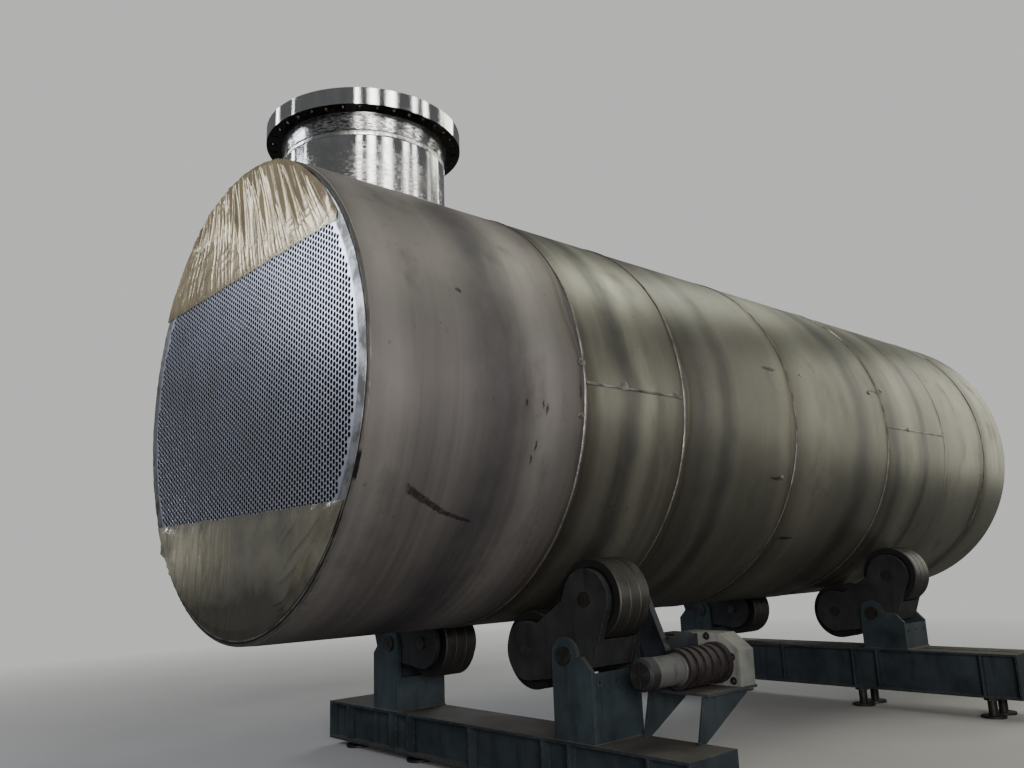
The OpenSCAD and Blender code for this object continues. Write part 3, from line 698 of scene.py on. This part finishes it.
# %% Cut the nozzle's opening
cutter_shape = bmesh.new()
bmesh.ops.create_cone(
    cutter_shape, cap_ends=True, segments=128, radius1=NECK_R, radius2=NECK_R, depth=1.0,
    matrix=VESSEL @ Matrix.Translation((NOZZLE_X, 0, SHELL_R)))
cutter = add("cutter", as_mesh(cutter_shape, "cutter"))
cut = courses[0].modifiers.new("opening", "BOOLEAN")
cut.operation = "DIFFERENCE"
cut.solver = "EXACT"
cut.object = cutter
opened = bpy.data.meshes.new_from_object(courses[0].evaluated_get(bpy.context.evaluated_depsgraph_get()))
courses[0].modifiers.clear()
courses[0].data = opened
bpy.data.objects.remove(cutter)
opened.set_sharp_from_angle(angle=radians(CORNER))
print("faces of the opened course", len(opened.polygons))

# %% [markdown]
# ## Weld beads
#
# A girth weld is a low crown laid all round a seam. Its outline is spun in many steps, and a noise
# shifts every point by a millimetre or so, because a hand-laid bead wanders. The fifth seam was
# welded twice, so it has a second bead beside it. The long fifth course was itself made up from two
# plates, and shows a fine ring where they meet. The welds round the tube sheets are rougher, with a
# lump where each tack was made.

# %% Lay the girth welds
BEAD_W, BEAD_H = 0.020, 0.0045
THIN = 0.6
BEAD_STEPS = 540
SECOND_BEAD, RING_AT = SEAMS[-1] - 0.093, 6.43


def join(whole, part):
    """Adds one bmesh to another by way of a scrap mesh."""
    scrap = as_mesh(part, "scrap")
    whole.from_mesh(scrap)
    bpy.data.meshes.remove(scrap)


def bead_outline(middle, width, height):
    """A crown from one toe to the other, closed under the plate's skin."""
    toe, root = middle - width / 2, SHELL_R - 0.008
    crown = [(toe + width * n / 6, SHELL_R - SEAM_PULL + height * sin(pi * n / 6)) for n in range(7)]
    return crown + [(middle + width / 2, root), (toe, root)]


beads = bmesh.new()
for middle in SEAMS + [SECOND_BEAD, RING_AT]:
    full = middle in SEAMS
    outline = bead_outline(middle, BEAD_W * (1 if full else THIN), BEAD_H + SEAM_PULL * full)
    bead = spun(outline, BEAD_STEPS)
    roughen(bead, 0.0012, 26)
    join(beads, bead)
girth_beads = piece("girth_beads", beads, WELD, "vessel", VESSEL, 60)
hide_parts("girth_welds")

# %% Lay the welds round the two sheets
RIM_SETBACK = ENDS[0][0]
for side, place in SHEETS.items():
    shape = spun([
        (0.004, BORE_R - 0.002), (0.002, BORE_R + 0.006), (0.006, BORE_R + 0.012), (0.009, BORE_R + 0.018),
        (RIM_SETBACK + 0.002, BORE_R + 0.024), (RIM_SETBACK + 0.004, BORE_R - 0.002),
    ], BEAD_STEPS)
    roughen(shape, 0.0028, 34, keep=lambda point: point.x > RIM_SETBACK)
    made = piece(f"{side}_rim_weld", shape, RIM_WELD, "vessel", place, 60)
    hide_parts("seal_welds")

# %% [markdown]
# A rolled plate is closed by one straight weld along the drum. Neighbouring courses are turned so
# that these never line up. Each is a rod cut into short lengths, flattened and roughened, and laid
# half into the skin. The angle is counted upwards from the side that faces the camera.

# %% Lay the straight welds
LONG_WELDS = [
    (*ENDS[0], 128), (*ENDS[1], 0), (*ENDS[2], 205), (*ENDS[3], 160), (ENDS[4][0], RING_AT, 1.5),
    (RING_AT, ENDS[4][1], 138), (*ENDS[5], 150),
]


def rod(segments, lie, long, lumps, waves):
    """A weld run: a rod in lengths of 2 cm, squeezed and laid by a matrix, then roughened."""
    shape = bmesh.new()
    bmesh.ops.create_cone(shape, cap_ends=True, segments=segments, radius1=0.5, radius2=0.5, depth=1)
    sides = [e for e in shape.edges if abs(e.verts[0].co.z - e.verts[1].co.z) > 0.5]
    bmesh.ops.subdivide_edges(shape, edges=sides, cuts=round(long / 0.02), use_grid_fill=True)
    bmesh.ops.transform(shape, matrix=lie, verts=shape.verts)
    roughen(shape, lumps, waves)
    return shape


def on_skin(along, up, radius=SHELL_R):
    """A place on the skin, up degrees above the camera's side, with Z pointing out."""
    return Matrix.Rotation(radians(90 - up), 4, "X") @ Matrix.Translation((along, 0, radius))


LONG_H, LONG_W = BEAD_H * 1.3, 0.018
straight = bmesh.new()
for start, end, up in LONG_WELDS:
    long = end - start - BEAD_W
    lie = Matrix.Rotation(pi / 2, 4, "Y") @ Matrix.Diagonal((LONG_H, LONG_W, long, 1))
    one = rod(12, lie, long, 0.0022, 24)
    bmesh.ops.transform(one, matrix=on_skin((start + end) / 2, up), verts=one.verts)
    join(straight, one)
piece("straight_welds", straight, WELD, "vessel", VESSEL, 60)

# %% [markdown]
# Where lugs held the courses together for fitting, they were cut off again and left rough spots of
# weld metal beside the seams. Each is a ball pressed flat and dented by a noise, half sunk into the
# skin. Balls made of triangles dent more evenly than the usual ones, whose points crowd at the poles.

# %% Lay the lug scars
LUG_SCARS = [
    (1.441, 4.9, 0.030), (1.420, -8.0, 0.022), (1.80, 0.5, 0.036), (2.297, 0.8, 0.020),
    (3.957, 14.5, 0.018), (3.60, -19.3, 0.024), (5.06, 13.3, 0.024), (5.33, 15.4, 0.022),
    (5.67, 1.6, 0.026), (7.31, -12.0, 0.022),
]
SCAR_THICK, SCAR_SUNK = 0.006, 0.001
scars = bmesh.new()
for along, up, size in LUG_SCARS:
    one = bmesh.new()
    bmesh.ops.create_icosphere(one, subdivisions=3, radius=1)
    roughen(one, 0.35, 2.2)
    press = Matrix.Diagonal((size, size * 0.8, SCAR_THICK, 1))
    bmesh.ops.transform(one, matrix=on_skin(along, up, SHELL_R - SCAR_SUNK) @ press, verts=one.verts)
    join(scars, one)
piece("lug_scars", scars, WELD, "vessel", VESSEL, 60)

# %% [markdown]
# ## Drilled tube sheets
#
# The front sheet has thousands of holes on a triangular pitch. Cutting them one by one would take
# minutes and leave messy faces. Instead one cell is modelled: a hexagon with a hole, a small
# bright chamfer, a short wall and a closed end; wall and end are painted near-black, as painted
# shade in the hole. The hexagons fit together like a honeycomb, so stamping the cell at every place
# of the pattern gives the drilled plate with clean faces. Under the films the cell has no chamfer,
# and on the rear sheet it has fewer sides too, as little shows.

# %% Model the cells
HOLE_DEPTH = 0.05
CHAMFER = 0.0012
FINE, COARSE = 12, 6


def hexagon(shape, sides, filled=False):
    """Adds the rim of a cell: its six corners, and in a fine one the middles between them."""
    rim = bmesh.ops.create_circle(shape, cap_ends=filled, segments=sides, radius=PITCH / sqrt(3))["verts"]
    for vert in rim if sides == FINE else []:
        if round(vert.co.xy.angle_signed(Vector((0, 1))) / (pi / 6)) % 2:
            vert.co *= sqrt(3) / 2


def cell(sides, chamfer):
    """One hole in its hexagon, face up, as a mesh ready for stamping."""
    shape = bmesh.new()
    hexagon(shape, sides)
    inner = bmesh.ops.create_circle(shape, segments=sides, radius=HOLE_R + chamfer)["verts"]
    bmesh.ops.bridge_loops(shape, edges=list(shape.edges))
    loop = [e for e in shape.edges if all(v in inner for v in e.verts)]
    for drop, radius in ([(chamfer, HOLE_R)] if chamfer else []) + [(HOLE_DEPTH, HOLE_R)]:
        grown = bmesh.ops.extrude_edge_only(shape, edges=loop)["geom"]
        ring = [g for g in grown if isinstance(g, bmesh.types.BMVert)]
        loop = [g for g in grown if isinstance(g, bmesh.types.BMEdge)]
        for vert in ring:
            vert.co.xy = vert.co.xy.normalized() * radius
            vert.co.z = -drop
    bmesh.ops.contextual_create(shape, geom=loop)
    bmesh.ops.recalc_face_normals(shape, faces=shape.faces)
    if max(shape.faces, key=lambda f: f.calc_center_median().z).normal.z < 0:
        bmesh.ops.reverse_faces(shape, faces=shape.faces)
    for face in shape.faces:
        face.material_index = int(face.calc_center_median().z < -chamfer - 0.001)
    return as_mesh(shape, "cell")


FINE_CELL, PLAIN_CELL, FAR_CELL = cell(FINE, CHAMFER), cell(FINE, 0), cell(COARSE, 0)
print("faces of the cells", [len(c.polygons) for c in (FINE_CELL, PLAIN_CELL, FAR_CELL)])

# %% [markdown]
# A stamp moves the cell's mesh to the next place of the pattern and appends it to the sheet being
# made. That is far quicker than moving thousands of points inside one growing mesh. The pattern
# has columns side by side, and every second one is raised by half a pitch.

# %% Stamp the pattern
FACE_UP = {
    "front": VESSEL @ Matrix.Rotation(-pi / 2, 4, "Y"),
    "rear": VESSEL @ Matrix.Translation((VESSEL_LEN, 0, 0)) @ Matrix.Rotation(pi / 2, 4, "Y"),
}


def places(wanted):
    """Places (up, across) of the holes inside the field that are wanted."""
    reach = int(FIELD_R / COLUMN) + 1
    found = []
    for column in range(-reach, reach + 1):
        for row in range(-int(FIELD_R / PITCH) - 1, int(FIELD_R / PITCH) + 2):
            up, across = (row + 0.5 * (column % 2)) * PITCH, column * COLUMN
            if hypot(up, across) < FIELD_R - HOLE_R and wanted(up, across):
                found.append((up, across))
    return found


def stamp(mesh, spots):
    """One bmesh with a copy of the cell at every spot, joined edge to edge."""
    shape = bmesh.new()
    at = Vector((0, 0))
    for spot in spots:
        move = Vector(spot) - at
        mesh.transform(Matrix.Translation((*move, 0)))
        at = Vector(spot)
        shape.from_mesh(mesh)
    mesh.transform(Matrix.Translation((*-at, 0)))
    bmesh.ops.remove_doubles(shape, verts=shape.verts, dist=1e-5)
    return shape


def covered(up, across):
    """Whether a film lies over a place of the front sheet."""
    return up > FILM_TOP + PITCH or up < FILM_LOW - PITCH


def bare_left(up, across):
    return not covered(up, across) and across < -COLUMN / 2


def bare_right(up, across):
    return not covered(up, across) and across > -COLUMN / 2


def anywhere(up, across):
    return True


FIELDS = [
    ("drilled_field_left", FINE_CELL, "front", bare_left),
    ("drilled_field_right", FINE_CELL, "front", bare_right),
    ("drilled_field_under_film", PLAIN_CELL, "front", covered),
    ("rear_drilled_field", FAR_CELL, "rear", anywhere),
]
for name, mesh, side, wanted in FIELDS:
    spots = places(wanted)
    field = piece(name, stamp(mesh, spots), [MACHINED, BORE_SHADE], "vessel", FACE_UP[side], 40)
    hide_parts(f"{side}_tubesheet")
    print(name, len(spots), "holes")

# %% [markdown]
# The honeycomb ends in a ragged edge. Between it and the bore of the shell lies a plain margin.
# Its inner edge is found by stamping bare hexagons and taking the boundary of the whole; a circle
# is added outside, and the space between is filled with triangles. A turned ring takes over from
# there to the shell, with the back of the sheet behind it.

# %% Fill the margins
MARGIN_R = FIELD_R + 0.012
for side, sides in (("front", FINE), ("rear", COARSE)):
    tile = bmesh.new()
    hexagon(tile, sides, filled=True)
    shape = stamp(as_mesh(tile, "tile"), places(anywhere))
    ragged = [e for e in shape.edges if e.is_boundary]
    tiles = list(shape.faces)
    circle = bmesh.ops.create_circle(shape, segments=STEPS_ROUND, radius=MARGIN_R)["verts"]
    outer = list({e for v in circle for e in v.link_edges})
    bmesh.ops.triangle_fill(shape, use_beauty=True, edges=ragged + outer)
    bmesh.ops.delete(shape, geom=tiles, context="FACES")
    for face in shape.faces:
        if face.normal.z < 0:
            face.normal_flip()
    made = piece(f"{side}_margin", shape, MACHINED, "vessel", FACE_UP[side])
    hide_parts(f"{side}_tubesheet")

# %% Turn the rims and the backs
thick, wall = sheet_high.x - sheet_low.x, BORE_R - 0.0002
for side, place in SHEETS.items():
    outline = [(0, MARGIN_R), (0, BORE_R - 0.002), (0.002, wall), (thick, wall), (thick, 0.001)]
    shape = spun(outline, STEPS_ROUND, closed=False)
    made = piece(f"{side}_sheet_edge", shape, MACHINED, "vessel", place)
    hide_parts(f"{side}_tubesheet")

# %% [markdown]
# ## Nozzle and the pieces inside
#
# The neck and the flange are plain turned forms, and the CAD meshes are smooth already, so they
# only take the mirror finish. The weld at the shell is in the CAD model too; the thin one where the
# neck meets the flange's hub is added here. The tubes seen down the bore and the baffles are dull.

# %% Finish the nozzle and the bundle
def dress(names, finish):
    """Gives CAD nodes a finish and leaves their meshes as they are."""
    for name in names:
        for socket in frame["nodes"][name].material_slots:
            socket.material = finish


TUBE = plain_steel("drawn_tube", (0.42, 0.42, 0.43), (0.26, 0.26, 0.27), 0.3)
BAFFLE = plain_steel("baffle_plate", (0.24, 0.23, 0.22), (0.12, 0.11, 0.1), 0.5)
dress(["nozzle_neck", "nozzle_flange"], MIRROR)
dress(["nozzle_weld"], WELD)
dress(["nozzle_tubes", "tube_core"], TUBE)
dress(["baffles"], BAFFLE)
NOZZLE_UP = VESSEL @ Matrix.Translation((NOZZLE_X, 0, 0)) @ Matrix.Rotation(-pi / 2, 4, "Y")
RING = plain_steel("brushed_ring", (0.62, 0.61, 0.58), (0.40, 0.39, 0.36), 0.24, 1.0)
hub_bead = spun([
    (NECK_TOP - 0.020, NECK_R - 0.001), (NECK_TOP - 0.014, NECK_R + 0.003), (NECK_TOP, NECK_R + 0.005),
    (NECK_TOP + 0.014, NECK_R + 0.005), (NECK_TOP + 0.020, NECK_R + 0.002),
    (NECK_TOP + 0.020, NECK_R - 0.004), (NECK_TOP - 0.020, NECK_R - 0.004),
], 420)
roughen(hub_bead, 0.0012, 42)
hub_weld = piece("hub_weld", hub_bead, RING, "vessel", NOZZLE_UP, 60)
nozzle_lit.objects.link(hub_weld)

# %% [markdown]
# ## Protective film
#
# The drilled face is kept clean by film, and only the middle is uncovered for work. The upper film
# is stiff, golden and clear, and is gathered over the rim of the shell: its folds fall straight down
# from the top, and on the far side they lean along the rim. Below them the film lies smooth. The
# lower film is grey and duller: pleated on the far side, loose in the middle, and with folds and one
# thick crease along the near rim. A cloth simulation would give soft hanging folds, but these are
# sharp creases of a stiff film that is held all round, so they are drawn. Each film is a grid whose
# columns run from its free edge to the rim. Ridged noise lifts it: 1 minus the size of a noise has a
# sharp crest wherever the noise is zero.

# %% Film finishes
def film_finish(name, clear, cloudy, edge_up, shade_below, clean_from, tint, rough):
    """Film: thin by its free edge at edge_up, darker below a given height as painted shade, and clean beyond
    clean_from.
    """
    film = Finish(name, Metallic=0.5, IOR=1.5, Coat_Weight=0.25, Coat_Roughness=0.06)
    film.shader.inputs["Specular Tint"].default_value = (*tint, 1)
    crease = film.noise((55, 55, 9), 5, 0.65)
    cloud = film.noise((4, 4, 3), 5, 0.6)
    x, y, z = film.axes()
    up = film.minus(z, AXIS_Z)
    colour = film.mix(film.span(cloud, 0.35, 0.65), clear, cloudy)
    across = film.plus(y, film.vary(cloud, -0.3, 0.3))
    colour = film.mix(film.span(across, clean_from + 0.4, clean_from - 0.4, 0, 0.75), colour, cloudy)
    ragged = film.plus(up, film.vary(cloud, -0.12, 0.12))
    # Below the given height the film is painted near-black: painted shade towards the bottom of the lower
    # film.
    painted_shade = film.span(ragged, shade_below + 0.12, shade_below - 0.12, 0, 0.8)
    colour = film.mix(painted_shade, colour, (0.035, 0.033, 0.028))
    by_edge = film.span(film.away(up, edge_up), 0.0, 0.05, 0.72, 0.94)
    cover = film.plus(by_edge, film.vary(cloud, -0.05, 0.05))
    rough = film.vary(crease, rough, rough + 0.14)
    return film.use(colour, rough, film.bump(crease, 0.0022), cover)


FILM_UPPER = film_finish(
    "golden_film", (0.64, 0.54, 0.34), (0.36, 0.30, 0.19), FILM_TOP, 0, -9, (1.0, 0.86, 0.60), 0.15)
FILM_LOWER = film_finish(
    "grey_film", (0.85, 0.80, 0.60), (0.22, 0.21, 0.165), FILM_LOW, FILM_LOW - 0.38, 0.35,
    (1.0, 0.97, 0.86), 0.17)
print("films", FILM_UPPER.name, FILM_LOWER.name)

# %% Lines that the folds follow
GATHER_Y = 0.24


def limit(value):
    return min(1.0, max(0.0, value))


def ridge(sharp, *place):
    """A fold of height 1 whose crest is where a noise is zero; a higher power makes it narrower."""
    return max(0.0, 1 - abs(wave(*place)) * 2) ** sharp


def fan_line(y, z):
    """Stays the same along a fold; the folds fan out from above, from close by on the far side."""
    apex = 1.5 - 1.2 * limit((y + 0.1) / 0.7)
    return atan2(y - GATHER_Y, apex + SHELL_R - z) * (apex + 0.35)


def upper_folds(y, z):
    """Height of the gathered film over the sheet, at a place across and above the axis."""
    line = fan_line(y, z)
    tall = ridge(4, line * 11, z * 0.8, 0)
    fine = ridge(3, line * 25, z * 1.5, 5)
    far = limit((y + 0.1) / 0.4)
    taut = limit((z - FILM_TOP - 0.06 - 0.24 * far) / 0.22)
    curl = ridge(4, y * 1.6, z * 11 + y * 3, 8)
    calm = (1 - taut) * limit((z - FILM_TOP) / 0.08)
    return 0.004 + taut * (0.022 * tall + 0.008 * fine) + calm * (0.004 * curl + 0.004 * fine)


print("fan line at the top", round(fan_line(0, SHELL_R), 3))

# %% Shape the upper film
OVER_SHELL, CLEARANCE = 0.05, 0.002
FILM_COLUMNS, FILM_ROWS = 600, 104
TAPED_R = FIELD_R + 0.035
FILM_RIGHT, FILM_LEFT = -sqrt(TAPED_R ** 2 - FILM_TOP ** 2), sqrt(SHELL_R ** 2 - FILM_TOP ** 2)


def grid(columns, rows, point):
    """A grid whose points, across from -1 to 1 and a share from 0 to 1, go where a function says."""
    shape = bmesh.new()
    bmesh.ops.create_grid(shape, x_segments=columns, y_segments=rows, size=1)
    for vert in shape.verts:
        vert.co = point(vert.co.x, (vert.co.y + 1) / 2)
    bmesh.ops.recalc_face_normals(shape, faces=shape.faces)
    return shape


def upper_film_point(across, share):
    """A point of the sheet; share runs from the free edge (0) to its outer edge (1)."""
    across = (across + 1) / 2
    y = FILM_RIGHT + (FILM_LEFT - FILM_RIGHT) * across
    outer = TAPED_R + (SHELL_R - TAPED_R) * limit(y + 1.5)
    rim = sqrt(max(outer ** 2 - y ** 2, 0))
    low = FILM_TOP + 0.006 * wave(across * 18, 3, 1)
    face_long = max(rim - low, 0.0)
    hang = share * (face_long + OVER_SHELL * limit((y + 0.45) / 0.1))
    z = low + min(hang, face_long)
    over = hang - face_long
    if over <= 1e-6:
        held = 0.25 + 0.75 * limit((rim - z) / 0.03)
        return Vector((-CLEARANCE - upper_folds(y, z) * held, y, z))
    pleat = CLEARANCE + 0.007 * ridge(2, y * 30, rim * 30, over * 8)
    tuft = 0.035 * limit(1 - abs(y - 0.33) / 0.06) * abs(wave(y * 70, over * 60, 2))
    out = Vector((0, y, rim)).normalized() * (pleat + tuft)
    fringe = 1 + 0.3 * wave(y * 12, 0, 9)
    return Vector((over * fringe, y, rim)) + out


upper = grid(FILM_COLUMNS, FILM_ROWS, upper_film_point)
film_upper = piece("upper_film", upper, FILM_UPPER, "vessel", VESSEL, 180)
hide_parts("film_upper")

# %% Shape the lower film
LOW_R = BORE_R - 0.012
LOW_COLUMNS, LOW_ROWS = 440, 96


def lower_folds(y, z):
    """Height of the lower film: pleats on the far side, loose facets, folds along the near rim."""
    pleats = ridge(4, y * 10 + z * 0.6, z * 0.9, 3)
    fine = ridge(3, y * 27, z * 2.2, 7)
    facets = 0.5 + wave(y * 2.4, z * 2.8, 6)
    from_rim = LOW_R - hypot(y, z) + 0.05 * wave(y * 4, z * 5, 1)
    folds = ridge(4, from_rim * 13, atan2(z, y) * 2.4, 4)
    strand = max(0.0, 1 - abs(from_rim - 0.09) / 0.02) ** 2
    far, near = limit((y + 0.05) / 0.45), limit((-0.45 - y) / 0.3)
    return far * (0.020 * pleats + 0.008 * fine) + 0.010 * facets + near * (0.014 * folds + 0.022 * strand)


def lower_film_point(across, share):
    """A point of the lower sheet, from its loose upper edge (share 0) down to the rim."""
    span = sqrt(LOW_R ** 2 - FILM_LOW ** 2)
    y = across * span
    rim = -sqrt(max(LOW_R ** 2 - y ** 2, 0))
    top = FILM_LOW + 0.016 * wave(across * 7, 7, 2) * (1 - across ** 2)
    z = top + (rim - top) * share
    held = min(1, share * 5 + 0.1, (1 - share) * 12 + 0.1)
    return Vector((-CLEARANCE - held * max(0.0, lower_folds(y, z)), y, z))


lower = grid(LOW_COLUMNS, LOW_ROWS, lower_film_point)
film_lower = piece("lower_film", lower, FILM_LOWER, "vessel", VESSEL, 180)
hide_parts("film_lower")

# %% [markdown]
# ## Stands
#
# The stands' plates, boxes and rockers have their true shape in CAD, so they keep their meshes and
# take paints: near-black on the rockers and guards, muted blue on pedestals and bases, pale grey on
# the gear case. The blue of pedestals and bases is made darker than the paint, the bases most, as
# painted shade under the drum. The rollers are bare steel on their rolled faces. Small things that a
# maker's eye looks for are modelled here: bolts, weld runs and the motor's fan grille.

# %% Paint the stands
motor_low, motor_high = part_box("drive_motor")
COIL_LONG, FAN_LONG = 0.318, 0.076
ROCKER = paint_finish("rocker_paint", (0.024, 0.025, 0.026), 0.3, 0.45)
# Pedestal and base paints are darker than the blue paint itself: painted shade under the drum.
PEDESTAL_PAINT_AND_SHADE = paint_finish("pedestal_paint", (0.032, 0.047, 0.053), 0.5, 0.5)
BASE_PAINT_AND_SHADE = paint_finish("base_paint", (0.027, 0.038, 0.044), 0.9, 0.55)
GEAR = paint_finish("gear_paint", (0.25, 0.255, 0.23), 0.4, 0.35)
MOTOR = paint_finish("motor_paint", (0.022, 0.015, 0.014), 0.45, 0.4, (0.10, 0.10, 0.10),
                     [(motor_low.x + COIL_LONG, (0.115, 0.115, 0.11)),
                      (motor_low.x + FAN_LONG, (0.02, 0.02, 0.02))])
GUARD = paint_finish("guard_paint", (0.018, 0.022, 0.028), 0.35, 0.35)
ROLLER = roller_finish()
PIN = plain_steel("turned_steel", (0.13, 0.125, 0.115), (0.05, 0.047, 0.042), 0.42)
JACK = plain_steel("oiled_steel", (0.06, 0.056, 0.05), (0.025, 0.022, 0.02), 0.5, 0.6)
for names, finish in [
    (ROLLERS, ROLLER), (named("rocker_", ["rocker_pins"]), ROCKER), (named("pedestal_"), PEDESTAL_PAINT_AND_SHADE),
    (["base_drive", "base_idler", "drive_shelf"], BASE_PAINT_AND_SHADE), (named("jacks_"), JACK),
    (["roller_axles", "rocker_pins"], PIN), (["gear_case"], GEAR), (["drive_motor"], MOTOR),
    (["reducer", "chain_case"], GUARD),
]:
    dress(names, finish)
print("paints", [m.name for m in (ROCKER, PEDESTAL_PAINT_AND_SHADE, BASE_PAINT_AND_SHADE, GEAR, MOTOR, GUARD)])

# %% [markdown]
# A hexagon bolt is a short six-sided cone with a washer under it. All the bolts on one carrier are
# joined in one mesh. A matrix places each: its Z points out of the face that it holds.

# %% Bolts
def stub(shape, segments, low, high, foot, depth, place):
    """Adds a short cone whose foot lies at a height over a face; returns its points."""
    lift = place @ Matrix.Translation((0, 0, foot + depth / 2))
    return bmesh.ops.create_cone(
        shape, cap_ends=True, segments=segments, radius1=low, radius2=high, depth=depth, matrix=lift)["verts"]


def bolt(shape, place, across):
    """Adds a hexagon head with a washer; the face lies at the matrix's origin, outwards is +Z."""
    stub(shape, 20, across * 1.05, across, 0, across * 0.18, place)
    head = stub(shape, 6, across * 0.62, across * 0.62, across * 0.16, across * 0.6, place)
    crown = {v for v in head if (place.inverted() @ v.co).z > across * 0.7}
    top = [e for e in shape.edges if crown.issuperset(e.verts)]
    bmesh.ops.bevel(
        shape, geom=top, offset=across * 0.07, affect="EDGES", segments=1, profile=0.5, material=-1)


def facing(direction):
    return Vector(direction).to_track_quat("Z", "Y").to_matrix().to_4x4()


gear_low, gear_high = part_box("gear_case")
gear_bolts = bmesh.new()
for y, z in [(0.12, 0.1), (0.88, 0.1), (0.12, 0.55), (0.88, 0.55), (0.5, 0.93)]:
    spot = gear_low + (gear_high - gear_low) * Vector((0, y, z))
    bolt(gear_bolts, Matrix.Translation(spot) @ facing((-1, 0, 0)), 0.022)
piece("gear_case_bolts", gear_bolts, PIN, "stand")

# %% [markdown]
# The pedestals are welded to the bases all round. A fillet weld is a rod of small section along the
# corner; cut into short lengths and roughened, it shows the ripples that a hand leaves.

# %% Fillet welds round the pedestals' feet
FILLET = 0.018
runs = bmesh.new()
for name in named("pedestal_"):
    low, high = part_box(name)
    corners = [Vector((x, y, low.z)) for x, y in (
        (low.x, low.y), (high.x, low.y), (high.x, high.y), (low.x, high.y))]
    for start, end in zip(corners, corners[1:] + corners[:1]):
        long = (end - start).length
        thick = Matrix.Diagonal((FILLET, FILLET, long, 1))
        lie = Matrix.Translation((start + end) / 2) @ facing(end - start) @ thick
        join(runs, rod(8, lie, long, 0.002, 45))
piece("foot_welds", runs, BASE_PAINT_AND_SHADE, "stand", None, 60)

# %% [markdown]
# The motor's fan breathes through a round grille at its plain end: rings of wire on six spokes.
# A wire ring is a small circle spun round the motor's axis, and a spoke is a thin stub.

# %% Fan grille
WIRE, SPOKES = 0.0022, 6
SPOKE_FOOT, SPOKE_LONG = 0.003, 0.066
grille = bmesh.new()
for radius in (0.018, 0.032, 0.046, 0.060):
    turns = [tau * n / 8 for n in range(8)]
    join(grille, spun([(WIRE * cos(turn), radius + WIRE * sin(turn)) for turn in turns], 48))
for n in range(SPOKES):
    stub(grille, 8, WIRE, WIRE, SPOKE_FOOT, SPOKE_LONG, Matrix.Rotation(tau * n / SPOKES, 4, "X"))
motor_end = (motor_low.x - WIRE, (motor_low.y + motor_high.y) / 2, (motor_low.z + motor_high.z) / 2)
piece("fan_grille", grille, JACK, "stand", Matrix.Translation(motor_end), 50)
print("fan grille at", [round(c, 3) for c in motor_end])

# %% [markdown]
# ## Floor and finish
#
# A plain pale floor takes the shadow. A pale floor would also throw much light up at the belly, which
# is dark on the real drum, so the floor is pale to the camera and dim to everything else. Far away it
# fades out into the backdrop, so that no horizon shows.

# %% Floor
floor_shape = bmesh.new()
bmesh.ops.create_grid(floor_shape, x_segments=1, y_segments=1, size=40)
floor = add("floor", as_mesh(floor_shape, "floor"))
concrete = Finish("pale_floor", Roughness=0.75, Specular_IOR_Level=0.2)
cloud = concrete.noise(0.6, 5)
worn = concrete.mix(concrete.vary(cloud), (0.55, 0.54, 0.52), (0.62, 0.61, 0.59))
seen = concrete.node("LightPath", {})["Is Camera Ray"]
out_there = concrete.node("VectorMath", {0: concrete.place}, operation="LENGTH")["Value"]
shown = concrete.mix(seen, (0.12, 0.12, 0.12), worn)
fading = concrete.span(out_there, 5.0, 12.5, 1.0, 0.0)
floor.data.materials.append(concrete.use(shown, alpha=fading))
print("floor", list(floor.dimensions))
